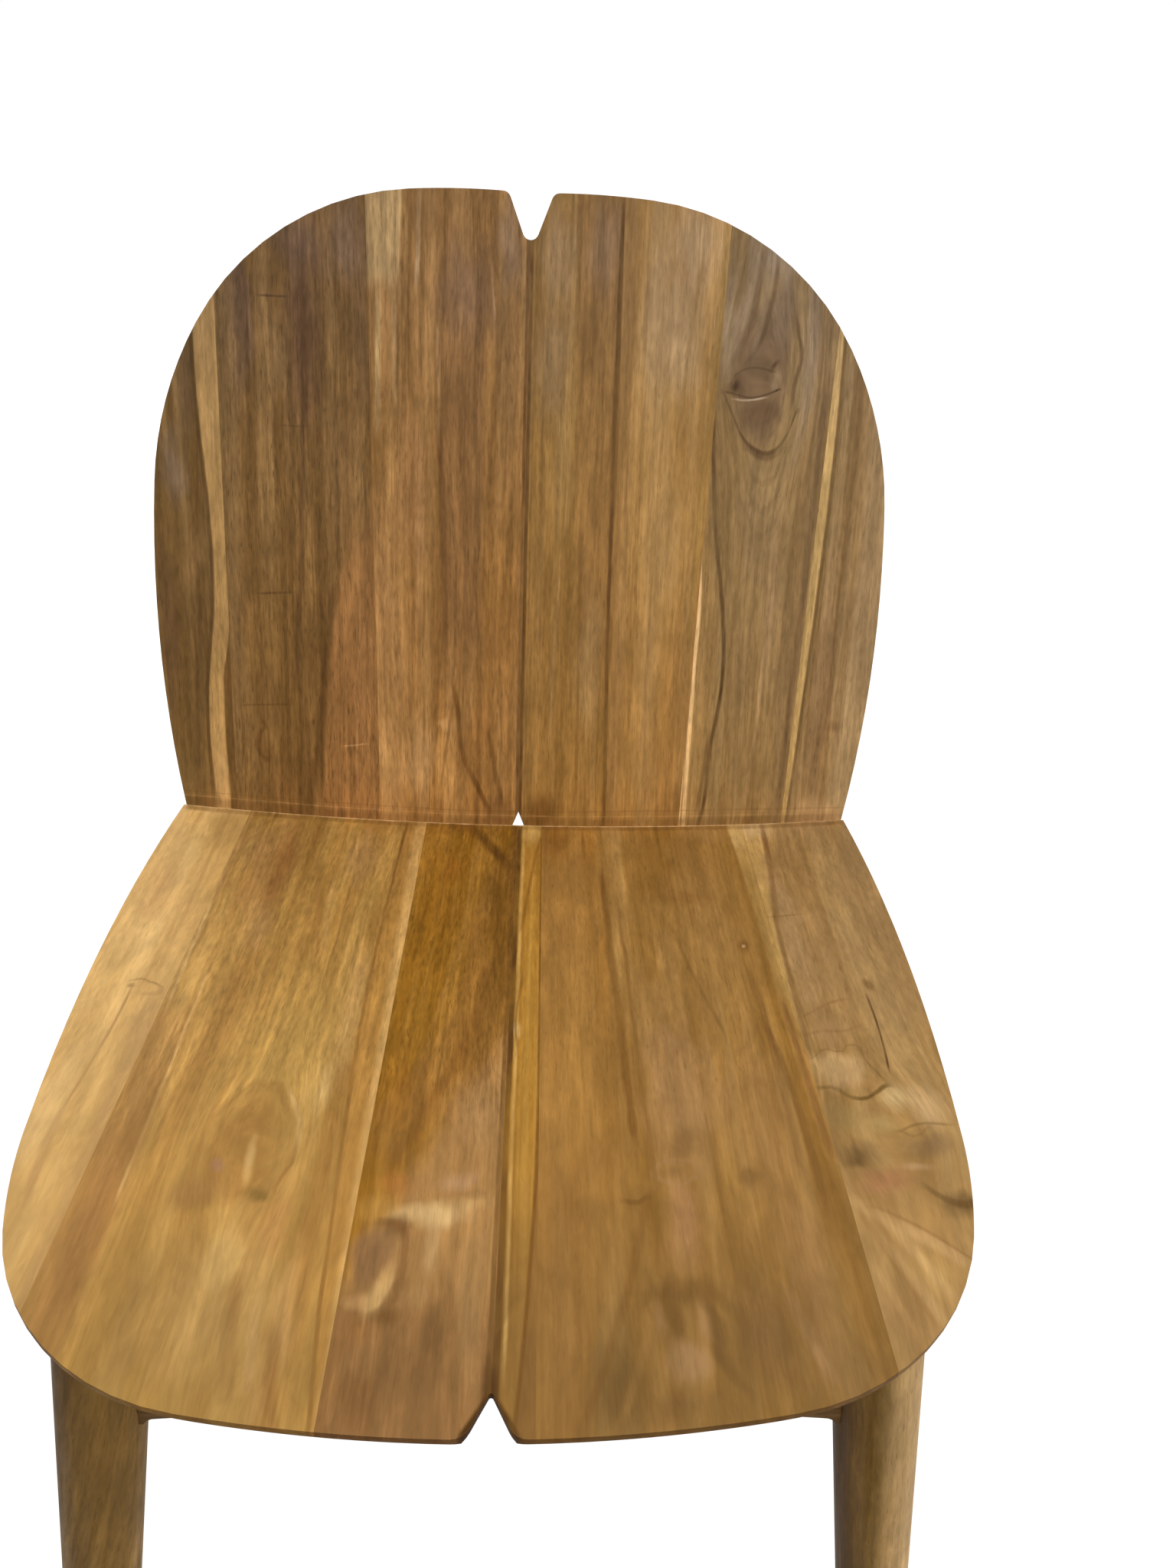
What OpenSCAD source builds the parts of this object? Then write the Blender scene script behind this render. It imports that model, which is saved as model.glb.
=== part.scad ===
// Dining chair in solid teak. Two dished panels, the seat and the reclined back,
// are glued up from upright staves and meet at a crease. Four round tapered legs
// and four rails carry them, and the rear legs run on up behind the back.
// Millimetres, +Z up, front towards -Y. The origin lies on the floor under the
// middle of the chair.

/* [Stance] */
// Height of the crease between seat and back above the floor
crease_h = 432; // [410:1:450]
// Rise of the seat towards its front edge, in degrees
seat_slope = 3; // [1:0.5:5]
// Lean of the back away from upright, in degrees
recline = 15.7; // [12:0.1:18]

/* [Seat panel] */
// Greatest width of the seat
seat_w = 460.5; // [450:0.5:470]
// Length of the seat from the crease to the front edge
seat_len = 443.5; // [435:0.5:455]
// Thickness of the seat staves
seat_t = 18; // [16:0.5:22]
// Depth of the dish across the width of the seat
seat_dish = 16.5; // [10:0.5:20]
// Distance of the widest place from the crease
seat_widest = 100; // [90:1:115]
// Radius of the long curve along each side
seat_side_r = 1700; // [1500:10:1900]
// Distance of the shoulder's centre from the front edge
seat_shoulder_drop = 171; // [165:1:177]
// Radius of the shoulder in front of the side curve
seat_shoulder_r = 284; // [265:1:300]
// Radius of the two front corners
seat_corner_r = 109; // [100:1:120]
// Radius of the front edge
seat_end_r = 903; // [850:1:1000]

/* [Back panel] */
// How much wider the back is than the seat
back_extra_w = 14; // [6:0.5:22]
// Length of the back from the crease to the crown of each half, along the board
back_len = 406.5; // [400:0.5:415]
// Thickness of the back staves
back_t = 16; // [14:0.5:20]
// Depth of the curve across the width of the back
back_dish = 14; // [9:0.5:18]
// Distance of the widest place from the crease
back_widest = 152; // [140:1:165]
// Radius of the long curve along each side
back_side_r = 885; // [800:5:1000]
// Distance of the shoulder's centre below the crown
back_shoulder_drop = 198; // [192:1:204]
// Radius of the shoulder above the side curve
back_shoulder_r = 226; // [215:1:240]
// Radius of the two top corners
back_corner_r = 167; // [155:1:180]
// Radius of the crown of each half
back_end_r = 493; // [450:1:550]
// Distance of each crown from the middle seam
back_crown_x = 31; // [27:1:36]

/* [Rims and notches] */
// Height of the upright edge left at the rim of both panels
rim_edge = 3; // [2:0.5:5]
// Width of the bevel under the rim
rim_bevel = 14; // [10:0.5:16]
// Half width of the notch at the front edge of the seat
seat_notch_w = 9.5; // [8:0.5:10.5]
// Depth of the notch at the front edge of the seat
seat_notch_d = 18; // [14:0.5:22]
// Half width of the notch at the top of the back
back_notch_w = 14; // [12:0.5:17]
// Depth of the notch at the top of the back
back_notch_d = 27; // [22:0.5:31]
// Radius at the bottom of the notch in the back
back_notch_r = 5; // [3:0.5:6]
// Height of the small notch above the crease
foot_notch_h = 10; // [7:0.5:13]
// Half width of the small notch at the crease
foot_notch_w = 4; // [3:0.5:5]
// Radius at the bottom of the notch in the seat
seat_notch_r = 1; // [0.5:0.5:3]
// Radius of the corners beside the notch in the seat
seat_notch_ease = 8; // [6:0.5:8.5]
// Radius of the corners beside the notch in the back
back_notch_ease = 5; // [3:0.5:5.5]

/* [Seat staves] */
// Width of the left stave beside the seam
seat_left_inner_w = 64; // [58:1:72]
// Width of the left main stave
seat_left_main_w = 120; // [112:1:124]
// Width of the narrow right stave beside the seam
seat_right_inner_w = 17; // [15:1:20]
// Width of the right main stave
seat_right_main_w = 140; // [134:1:144]

/* [Back staves] */
// Width of the left stave beside the seam, at the crease
back_left_inner_w = 96; // [90:1:102]
// Width of the left main stave, at the crease
back_left_main_w = 97; // [94:1:102]
// Width of the right stave beside the seam, at the crease
back_right_inner_w = 62.5; // [58:0.5:66]
// Width of the right middle stave, at the crease
back_right_middle_w = 50.5; // [48:0.5:54]
// Width of the right main stave, at the crease
back_right_main_w = 71.5; // [68:0.5:74]
// Outward drift of the left inner glue line from the crease to the top
back_left_inner_drift = 5; // [2:0.5:8]
// Outward drift of the left main glue line
back_left_main_drift = -0.5; // [-3:0.5:3]
// Outward drift of the right inner glue line
back_right_inner_drift = -5; // [-8:0.5:-2]
// Outward drift of the right middle glue line
back_right_middle_drift = 11; // [8:0.5:13]
// Outward drift of the right main glue line
back_right_main_drift = 13; // [10:0.5:15]

/* [Legs] */
// Diameter of a leg under the seat
leg_top_d = 41; // [38:0.5:44]
// Diameter of a leg at the floor
leg_foot_d = 28; // [25:0.5:32]
// Distance of each front leg from the side of the seat
leg_side_inset = 65.5; // [62:0.5:70]
// Distance of the front legs from the front edge of the seat
leg_front_inset = 68.5; // [66:0.5:76]
// Outward splay of the front legs, in degrees
front_splay = 7.6; // [5:0.1:9]
// Forward rake of the front legs, in degrees
front_rake = 6; // [3:0.5:8]
// Outward splay of the rear legs, in degrees
rear_splay = 6.5; // [4:0.5:8]
// Backward rake of the rear legs, in degrees
rear_rake = 10.5; // [8:0.5:13]
// Diameter of a rear leg at its knee
knee_d = 40; // [38:0.5:42]
// Depth to which the back beds into a rear leg at its knee
knee_bed = 7; // [5:0.5:9]
// Diameter of a post at its top
post_top_d = 25; // [22:0.5:28]
// Height of the posts above the crease, along the back
post_len = 302; // [270:1:320]
// Inward lean of each post over its length
post_lean = 18; // [8:1:24]
// Depth to which the back beds into the top of a post
post_bed = 5; // [3:0.5:7]
// Height of the glides under the feet
glide_h = 4; // [3:0.5:5]
// Diameter of the glides
glide_d = 22; // [19:0.5:24]

/* [Rails and blocks] */
// Thickness of the four rails
rail_t = 20; // [18:0.5:22]
// Distance of the underside of the rails below the crease
rail_drop = 57; // [53:1:61]
// Rise of the arch under the front rail
front_rail_arch = 19; // [16:1:22]
// Rise of the arch under the rear rail
rear_rail_arch = 8; // [4:1:10]
// Radius of the fillets between these rails and the legs
rail_fillet = 6; // [4:0.5:8]
// Forward shift of the rear rail from the rear legs
rear_rail_shift = 8; // [5:0.5:10]
// Length of a corner block along each rail
block_len = 66; // [64:1:72]
// Distance of a corner block above the underside of the rails
block_lift = 14; // [11:1:17]
// Height of the rail behind the back
back_rail_h = 44; // [38:1:50]
// Thickness of the rail behind the back
back_rail_t = 16; // [15:0.5:17]
// Height of the middle of the rail behind the back above the crease
back_rail_at = 218; // [200:1:235]

/* [Joinery] */
// Diameter of the dowels
dowel_d = 8; // [7:0.5:9]
// Depth of a dowel in a leg or post
dowel_in_leg = 10; // [9:0.5:11]
// Depth of a dowel in a rail
dowel_in_rail = 20; // [16:1:24]
// Distance between the two dowels of a joint
dowel_pitch = 22; // [20:1:24]
// Thickness of the loose tongues in the middle seams
tongue_t = 4; // [3:0.5:5]
// Width of the loose tongues
tongue_w = 18; // [14:1:22]
// Shank diameter of the screws
screw_d = 4; // [3.5:0.1:4.5]
// Head diameter of the screws
screw_head_d = 8; // [7:0.5:9]
// Head height of the screws
screw_head_h = 3; // [2.5:0.5:3.5]
// Bite of the screws in the piece that they hold
screw_bite = 11; // [9:0.5:12]
// Distance of the level screws of a corner block from its corner
level_inset = 41; // [40:0.5:43]
// Distance of its upright screw from its corner, both ways
upright_inset = 27.5; // [26.5:0.5:28.5]
// Length of the screws in the corner blocks and through the posts
frame_screw_len = 26; // [25:0.5:27]
// Length of the screws that hold the seat down
seat_screw_len = 32; // [28:1:34]
// Length of the screws through the rail behind the back
batten_screw_len = 20; // [19:0.5:21]
// Diameter of the recesses and plugs over the screw heads
plug_d = 10; // [9.5:0.5:12]
// Clearance round dowels, tongues, screws and pins
fit_gap = 0.1; // [0.05:0.05:0.2]

/* [Hidden] */

// Length of a cut beyond what it cuts, and of the largest tools
spare = 40;
far = 900;
// Reach of a front leg above the crease before the seat cuts it
leg_top_over = 5;
// Reach of a bevel's cut outside the rim and under the panel
bevel_side = 3;
bevel_under = 10;
// Reach of a half outline across the middle seam
seam_over = 8;
// Play left past the end of a dowel, tongue, screw or plug
end_gap = 0.5;
// Length of a screw's point
screw_tip = 4;
// Length and diameter of the pin on a glide
pin_len = 14;
pin_d = 5;
// Distance of a tongue from the ends of its seam
tongue_inset = 22;
// Swell of a rear leg at its knee, and the ease round the top of a post
knee_swell = 0.8;
post_ease = 3;
// Height of the two level screws of a block above its underside
level_screw_rise = [7, 18];

wood_tones = [
    ["leg", [0.36, 0.22, 0.14]], ["rail", [0.33, 0.2, 0.13]], ["block", [0.62, 0.46, 0.3]],
    ["tan", [0.76, 0.6, 0.4]], ["brown", [0.55, 0.38, 0.24]], ["orange", [0.66, 0.44, 0.22]],
    ["gold", [0.62, 0.46, 0.26]], ["grey", [0.56, 0.43, 0.3]], ["olive", [0.6, 0.47, 0.28]],
    ["dark", [0.38, 0.25, 0.17]]
];
steel = [0.7, 0.68, 0.62];

// A circle that dishes a panel of this width by this depth
function dish_r(w, dish) = (w * w / 4 + dish * dish) / (2 * dish);
function dish_at(r, x) = r - sqrt(r * r - x * x);
back_w = seat_w + back_extra_w;
seat_r = dish_r(seat_w, seat_dish);
back_r = dish_r(back_w, back_dish);

// The footprint runs from the front edge of the seat to the bevel at the top of the back
front_reach = seat_len * cos(seat_slope) + rim_edge * sin(seat_slope);
rear_reach = (back_len - rim_bevel) * sin(recline) + back_t * cos(recline);
crease_y = (front_reach - rear_reach) / 2;

// Axis of a front leg at any height, and the radius of a leg that starts at a height
leg_x = seat_w / 2 - leg_side_inset;
front_leg_y = crease_y - (seat_len - leg_front_inset);
leg_top_z = crease_h + leg_top_over;
function front_leg_at(z) = [
    leg_x + (leg_top_z - z) * tan(front_splay),
    front_leg_y - (leg_top_z - z) * tan(front_rake),
    z
];
function leg_r(z, d, top_z) = (leg_foot_d + (d - leg_foot_d) * z / top_z) / 2;

// Rails meet the leg axes at the middle of their height
rail_bottom = crease_h - rail_drop;
rail_mid = crease_h - (rail_drop + seat_t) / 2;
rail_x = front_leg_at(rail_mid).x;
front_rail_y = front_leg_at(rail_mid).y;

// A point of the back panel: across, up along the board and out towards the sitter
function back_point(x, w, n) = [
    x,
    crease_y - n * cos(recline) + w * sin(recline),
    crease_h + n * sin(recline) + w * cos(recline)
];

// The knee of a rear leg, just below the crease; the leg falls from it and the post rises
knee_w = -10;
knee_x = rail_x - (crease_h + knee_w - rail_mid) * tan(rear_splay);
knee_n = dish_at(back_r, knee_x) - back_t - knee_d / 2 + knee_bed;
knee = back_point(knee_x, knee_w, knee_n);
function rear_leg_at(z) = [
    knee.x + (knee.z - z) * tan(rear_splay),
    knee.y + (knee.z - z) * tan(rear_rake),
    z
];
rear_rail_y = rear_leg_at(rail_mid).y - rear_rail_shift;

// Axis and radius of a post, by height along the back
post_top_x = knee_x - post_lean;
post_top_n = dish_at(back_r, post_top_x) - back_t - post_top_d / 2 + post_bed;
function post_share(w) = (w - knee_w) / (post_len - knee_w);
function post_x(w) = knee_x - post_lean * post_share(w);
function post_n(w) = knee_n + (post_top_n - knee_n) * post_share(w);
function post_r(w) = (knee_d + (post_top_d - knee_d) * post_share(w)) / 2;

// Distance from the middle of the chair to a leg's surface, along a cross rail
function cross_rail_y(front) = front ? front_rail_y : rear_rail_y;
function leg_at(front, z) = front ? front_leg_at(z) : rear_leg_at(z);
function leg_radius(front, z) =
    front ? leg_r(z, leg_top_d, leg_top_z) : leg_r(z, knee_d, knee.z);
function rail_end(front, z) =
    let (p = leg_at(front, z), d = p.y - cross_rail_y(front))
    p.x - sqrt(pow(leg_radius(front, z), 2) - d * d);
rail_dowel_z = [rail_mid - dowel_pitch / 2, rail_mid + dowel_pitch / 2];

// The same for the posts, along the rail behind the back
batten_n = -back_t - back_rail_t / 2;
batten_end = post_x(back_rail_at)
    - sqrt(pow(post_r(back_rail_at), 2) - pow(batten_n - post_n(back_rail_at), 2));

// Corners between the rails: place, and the two directions that lead inwards
front_corner = [rail_x - rail_t / 2, front_rail_y + rail_t / 2];
rear_corner = [rail_x - rail_t / 2, rear_rail_y - rail_t / 2];
block_bottom = rail_bottom + block_lift;
level_z = [for (rise = level_screw_rise) block_bottom + rise];

// Screws through the posts, by height, and through the back rail, by place across
post_screw_w = [62, 150, 272];
batten_screw_inset = 14;
batten_screw_x = [
    -back_left_inner_w - batten_screw_inset, -back_left_inner_w / 2,
    back_right_inner_w / 2, back_right_inner_w + back_right_middle_w / 2
];

// Centre of the circle that touches a side curve and an end curve from inside
function corner_at(s, ds, e, de) =
    let (v = e - s, l = norm(v))
    let (a = (ds * ds - de * de + l * l) / (2 * l))
    s + v * a / l + [-v.y, v.x] * sqrt(ds * ds - a * a) / l;

function arc(c, r, a0, a1, n) = [
    for (i = [0:n]) let (a = a0 + (a1 - a0) * i / n) [c.x + r * cos(a), c.y + r * sin(a), a]
];
function rest(v) = [for (i = [1:len(v) - 1]) v[i]];

// Right half of a panel's outline, from below the crease to just past the seam.
// Each entry holds a place across, a place along and the direction that faces out.
function outline(half, widest, side_r, drop, shoulder_r, corner_r, end_r, end_x, length) =
    let (side = [half - side_r, widest])
    let (turn = asin((length - drop - widest) / (side_r - shoulder_r)))
    let (shoulder = side + (side_r - shoulder_r) * [cos(turn), sin(turn)])
    let (end = [end_x, length - end_r])
    let (corner = corner_at(shoulder, shoulder_r - corner_r, end, end_r - corner_r))
    let (u = corner - shoulder, v = corner - end)
    let (a1 = atan2(u.y, u.x), a2 = atan2(v.y, v.x))
    let (low = asin(-(widest + spare) / side_r), high = 90 + asin((end_x + seam_over) / end_r))
    concat(
        arc(side, side_r, low, turn, 14),
        rest(arc(shoulder, shoulder_r, turn, a1, 8)),
        rest(arc(corner, corner_r, a1, a2, 10)),
        rest(arc(end, end_r, a2, high, 10))
    );

seat_rim = outline(seat_w / 2, seat_widest, seat_side_r, seat_shoulder_drop,
                   seat_shoulder_r, seat_corner_r, seat_end_r, 0, seat_len);
back_rim = outline(back_w / 2, back_widest, back_side_r, back_shoulder_drop,
                   back_shoulder_r, back_corner_r, back_end_r, back_crown_x, back_len);

// Frames of the two panels: across, along from the crease, out towards the sitter
module at_seat() {
    translate([0, crease_y, crease_h]) rotate([-seat_slope, 0, 0]) mirror([0, 1, 0]) children();
}

module at_back() {
    translate([0, crease_y, crease_h]) rotate([90 - recline, 0, 0]) children();
}

module sided(side) {
    if (side < 0) mirror([1, 0, 0]) children();
    else children();
}

// All that lies on the sitter's side of a dished face, or of one that is t behind it
module dish_body(r, t = 0) {
    translate([0, -far / 2, r]) rotate([-90, 0, 0]) cylinder(r = r + t, h = 2 * far, $fn = 720);
}

module before_back(t = 0) at_back() dish_body(back_r, t);
module above_underside() at_seat() dish_body(seat_r, seat_t);

// Places children along the line between two points: +Z runs from the first to the second
// and +X turned away from its lean
module along(p, q) {
    d = q - p;
    translate(p) rotate([0, acos(d.z / norm(d)), atan2(d.y, d.x)]) rotate(180) children();
}

// A screw along +Z with the underside of its head at zero, and the holes that take it
module screw(length) {
    translate([0, 0, -screw_head_h]) cylinder(h = screw_head_h, d = screw_head_d, $fn = 32);
    cylinder(h = length - screw_tip, d = screw_d, $fn = 32);
    translate([0, 0, length - screw_tip])
        cylinder(h = screw_tip, d1 = screw_d, d2 = screw_d / 4, $fn = 32);
}

module shank_hole(length) {
    translate([0, 0, -end_gap])
        cylinder(h = length + 2 * end_gap, d = screw_d + 2 * fit_gap, $fn = 32);
}

module screw_hole(length) {
    translate([0, 0, -spare]) cylinder(h = spare, d = plug_d + 2 * fit_gap, $fn = 32);
    shank_hole(length);
}

// A dowel along +Z with its joint at zero; a gap turns it into its hole
module dowel(gap) {
    play = gap > 0 ? end_gap : 0;
    translate([0, 0, -dowel_in_rail - play])
        cylinder(h = dowel_in_rail + dowel_in_leg + 2 * play, d = dowel_d + 2 * gap, $fn = 32);
}

// A bevel under the rim: a three-sided section that follows the outline. Its rings stand
// between the outline's corners, so that no corner of one lies on an edge of the other.
module rim_cut(rim, r, t, over) {
    path = [for (i = [1:len(rim) - 1]) (rim[i - 1] + rim[i]) / 2];
    slope = (t - rim_edge) / rim_bevel;
    deep = t + bevel_under;
    section = [
        [over, rim_edge - slope * over], [over, deep], [(rim_edge - deep) / slope, deep]
    ];
    last = 3 * (len(path) - 1);
    points = [
        for (p = path, s = section)
            [p.x + s.x * cos(p.z), p.y + s.x * sin(p.z), dish_at(r, p.x) - s.y]
    ];
    sides = [
        for (a = [0:3:last - 3], k = [0:2])
            let (m = (k + 1) % 3) each [[a + k, a + 3 + k, a + m], [a + m, a + 3 + k, a + 3 + m]]
    ];
    polyhedron(points, concat(sides, [[0, 1, 2], [last + 2, last + 1, last]]));
}

// Slope of the flanks of a V notch with a round foot
function notch_flank(half, depth, foot_r) =
    atan2(depth - foot_r, half) + asin(foot_r / norm([half, depth - foot_r]));

// Outline of the notch, with eased mouth corners
module notch(half, depth, foot_r, ease_r, mouth, top) {
    flank = notch_flank(half, depth, foot_r);
    ease = [half + ease_r * tan(flank / 2), mouth - ease_r];
    foot = [0, mouth - depth + foot_r];
    right = concat(
        [for (i = [1:4]) let (a = flank * i / 4 - 90) foot + foot_r * [cos(a), sin(a)]],
        [for (i = [4:-1:0]) let (a = flank * i / 4 + 90) ease + ease_r * [cos(a), sin(a)]],
        [[ease.x, top]]
    );
    polygon(concat(
        [[0, mouth - depth]], right, [for (i = [len(right) - 1:-1:0]) [-right[i].x, right[i].y]]
    ));
}

// Right flank and foot of the notch in the same form as an outline, for its bevel
function notch_rim(half, depth, foot_r, mouth) =
    let (flank = notch_flank(half, depth, foot_r), foot = [0, mouth - depth + foot_r])
    let (start = foot + foot_r * [sin(flank), -cos(flank)] + (depth + spare) * [cos(flank), sin(flank)])
    concat(
        [[start.x, start.y, flank + 90]],
        [for (i = [4:-1:-1]) let (a = flank * i / 4 - 90)
            [foot_r * cos(a), foot.y + foot_r * sin(a), a + 180]]
    );

// One stave: the part of a half panel between two glue lines. Each glue line is given
// at the crease, with its outward drift over the length of the panel.
module stave(rim, r, t, length, inner, inner_drift, outer, outer_drift) {
    low = -spare / length;
    high = 1 + spare / length;
    difference() {
        intersection() {
            dish_body(r, t);
            translate([0, 0, -far / 2]) linear_extrude(far) intersection() {
                polygon(concat([for (p = rim) [p.x, p.y]], [[0, -spare]]));
                polygon([
                    [inner + inner_drift * low, length * low],
                    [outer + outer_drift * low, length * low],
                    [outer + outer_drift * high, length * high],
                    [inner + inner_drift * high, length * high]
                ]);
            }
        }
        dish_body(r);
        rim_cut(rim, r, t, bevel_side);
    }
}

// A seat stave ends at the front of the back; children are cut from it, in the seat's frame
module seat_stave(side, inner, outer) {
    intersection() {
        at_seat() difference() {
            sided(side) stave(seat_rim, seat_r, seat_t, seat_len, inner, 0, outer, 0);
            children();
        }
        before_back();
    }
}

// A back stave stands on the level of the seat's underside
module back_stave(side, inner, inner_drift, outer, outer_drift) {
    intersection() {
        at_back() difference() {
            sided(side)
                stave(back_rim, back_r, back_t, back_len, inner, inner_drift, outer, outer_drift);
            children();
        }
        above_underside();
    }
}

// Where the notches open, a little below the crowns of the outlines
seat_lip = seat_notch_w + seat_notch_ease / 2;
seat_mouth = seat_len - seat_lip * seat_lip / (2 * seat_end_r);
back_lip = back_crown_x - back_notch_w - back_notch_ease / 2;
back_mouth = back_len - back_lip * back_lip / (2 * back_end_r);

module seat_middle_cuts(side) {
    translate([0, 0, -far / 2]) linear_extrude(far)
        notch(seat_notch_w, seat_notch_d, seat_notch_r, seat_notch_ease, seat_mouth,
              seat_len + spare);
    sided(side) rim_cut(
        notch_rim(seat_notch_w, seat_notch_d, seat_notch_r, seat_mouth),
        seat_r, seat_t, seat_notch_r / 2
    );
    seat_tongue_body(fit_gap);
}

module back_middle_cuts(side) {
    foot = foot_notch_w * (foot_notch_h + spare) / foot_notch_h;
    translate([0, 0, -far / 2]) linear_extrude(far) {
        notch(back_notch_w, back_notch_d, back_notch_r, back_notch_ease, back_mouth,
              back_len + spare);
        polygon([[0, foot_notch_h], [-foot, -spare], [foot, -spare]]);
    }
    sided(side) rim_cut(
        notch_rim(back_notch_w, back_notch_d, back_notch_r, back_mouth),
        back_r, back_t, back_notch_r / 2
    );
    back_tongue_body(fit_gap);
}

// Loose tongues in the middle seams; a gap turns one into its slot
module tongue(from, to, t, gap) {
    play = gap > 0 ? end_gap : 0;
    translate([-tongue_w / 2 - play, from - play, (-t - tongue_t) / 2 - gap])
        cube([tongue_w + 2 * play, to - from + 2 * play, tongue_t + 2 * gap]);
}

module seat_tongue_body(gap) tongue(tongue_inset, seat_len - seat_notch_d - tongue_inset, seat_t, gap);
module back_tongue_body(gap) {
    tongue(foot_notch_h + tongue_inset, back_len - back_notch_d - tongue_inset, back_t, gap);
}

// A tapered leg from under the floor level up to a point, before the floor cuts it
module shaft(p, q, top_r) {
    along(p, q) cylinder(h = norm(q - p), r1 = leg_foot_d / 2, r2 = top_r, $fn = 72);
}

module below_glides() {
    translate([0, 0, glide_h - spare]) linear_extrude(spare) square(far, center = true);
}

module front_leg_shaft(side) {
    top_z = leg_top_z + spare;
    sided(side) shaft(front_leg_at(0), front_leg_at(top_z), leg_radius(true, top_z));
}

module rear_leg_shaft(side) {
    top = back_point(post_x(post_len), post_len, post_n(post_len));
    rise = norm(top - knee);
    sided(side) {
        shaft(rear_leg_at(0), knee, knee_d / 2);
        translate(knee) sphere(r = knee_d / 2 + knee_swell, $fn = 72);
        along(knee, top) rotate_extrude($fn = 72) polygon([
            [0, 0], [knee_d / 2, 0], [post_top_d / 2, rise],
            [post_top_d / 2 - post_ease, rise + post_ease], [0, rise + post_ease]
        ]);
    }
}

module leg_shaft(side, front) {
    if (front) front_leg_shaft(side);
    else rear_leg_shaft(side);
}

// Dowels of a corner: two run across the chair and two run front to back
module corner_dowels(side, front, gap) {
    inward = front ? 1 : -1;
    sided(side) for (z = rail_dowel_z) {
        translate([rail_end(front, rail_mid), cross_rail_y(front), z])
            rotate([0, 90, 0]) dowel(gap);
        translate([rail_x, leg_at(front, rail_mid).y + inward * leg_radius(front, rail_mid), z])
            rotate([inward * 90, 0, 0]) dowel(gap);
    }
}

module batten_dowels(side, gap) {
    at_back() sided(side) for (k = [-0.5, 0.5])
        translate([batten_end, back_rail_at + k * dowel_pitch, batten_n])
            rotate([0, 90, 0]) dowel(gap);
}

// Screws of the back, in its frame, each driven towards the sitter
module back_screw_at(x, w, length) {
    translate([x, w, dish_at(back_r, x) - back_t + screw_bite - length]) children();
}

module post_screws_at(side) {
    sided(side) for (w = post_screw_w) back_screw_at(post_x(w), w, frame_screw_len) children();
}

// Screws of a corner block: one level into each rail, and one up into the seat
module level_screws_at(side, front) {
    c = front ? front_corner : rear_corner;
    inward = front ? 1 : -1;
    head = frame_screw_len - screw_bite;
    sided(side) {
        translate([c.x - head, c.y + inward * level_inset, level_z[0]])
            rotate([0, 90, 0]) children();
        translate([c.x - level_inset, c.y + inward * head, level_z[1]])
            rotate([inward * 90, 0, 0]) children();
    }
}

function underside_z(x, y) = crease_h + (crease_y - y) * tan(seat_slope)
    + (dish_at(seat_r + seat_t, x) - seat_t) / cos(seat_slope);

module upright_screw_at(side, front) {
    c = front ? front_corner : rear_corner;
    x = c.x - upright_inset;
    y = c.y + (front ? 1 : -1) * upright_inset;
    sided(side) translate([x, y, underside_z(x, y) + screw_bite - seat_screw_len]) children();
}

module glide_at(side, front) {
    p = leg_at(front, glide_h);
    sided(side) translate([p.x, p.y, 0]) children();
}

module pin_hole() {
    translate([0, 0, glide_h - end_gap])
        cylinder(h = pin_len + 2 * end_gap, d = pin_d + 2 * fit_gap, $fn = 32);
}

module wood(tone) color([for (w = wood_tones) if (w[0] == tone) w[1]][0]) children();

module front_leg(side) {
    wood("leg") difference() {
        front_leg_shaft(side);
        above_underside();
        below_glides();
        corner_dowels(side, true, fit_gap);
        glide_at(side, true) pin_hole();
    }
}

// The back beds into the posts and stands on the ledge that this leaves at the knee
module rear_leg(side) {
    wood("leg") difference() {
        rear_leg_shaft(side);
        intersection() {
            before_back(back_t);
            above_underside();
        }
        below_glides();
        corner_dowels(side, false, fit_gap);
        batten_dowels(side, fit_gap);
        at_back() post_screws_at(side) screw_hole(frame_screw_len);
        glide_at(side, false) pin_hole();
    }
}

// A front or rear rail: arched below, with a fillet at each leg
module cross_rail(front) {
    x = rail_x - rail_t / 2;
    f = rail_fillet;
    reach = rail_end(front, rail_bottom) - f;
    rise = front ? front_rail_arch : rear_rail_arch;
    arch = [for (i = [-12:12])
        [reach * i / 12, rail_bottom + rise * pow(1 - i * i / 144, 1.5)]];
    fillet = [for (a = [72:-18:18]) [reach + f * cos(a), rail_bottom - f + f * sin(a)]];
    low = fillet[len(fillet) - 1].y;
    wood("rail") difference() {
        translate([0, cross_rail_y(front) + rail_t / 2, 0]) rotate([90, 0, 0])
            linear_extrude(rail_t) polygon(concat(
                [[-x, crease_h + spare], [-x, low]],
                [for (i = [len(fillet) - 1:-1:0]) [-fillet[i].x, fillet[i].y]],
                arch, fillet,
                [[x, low], [x, crease_h + spare]]
            ));
        above_underside();
        for (side = [-1, 1]) {
            leg_shaft(side, front);
            corner_dowels(side, front, fit_gap);
            level_screws_at(side, front) shank_hole(frame_screw_len);
        }
    }
}

module side_rail(side) {
    from = front_rail_y;
    to = rear_leg_at(rail_mid).y;
    wood("rail") difference() {
        sided(side) translate([rail_x - rail_t / 2, from, rail_bottom])
            cube([rail_t, to - from, rail_drop + spare]);
        above_underside();
        for (front = [true, false]) {
            leg_shaft(side, front);
            corner_dowels(side, front, fit_gap);
            level_screws_at(side, front) shank_hole(frame_screw_len);
        }
    }
}

module batten_body() {
    x = post_x(back_rail_at);
    difference() {
        at_back() translate([-x, back_rail_at - back_rail_h / 2, -back_t - back_rail_t])
            cube([2 * x, back_rail_h, back_rail_t + spare]);
        before_back(back_t);
    }
}

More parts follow.
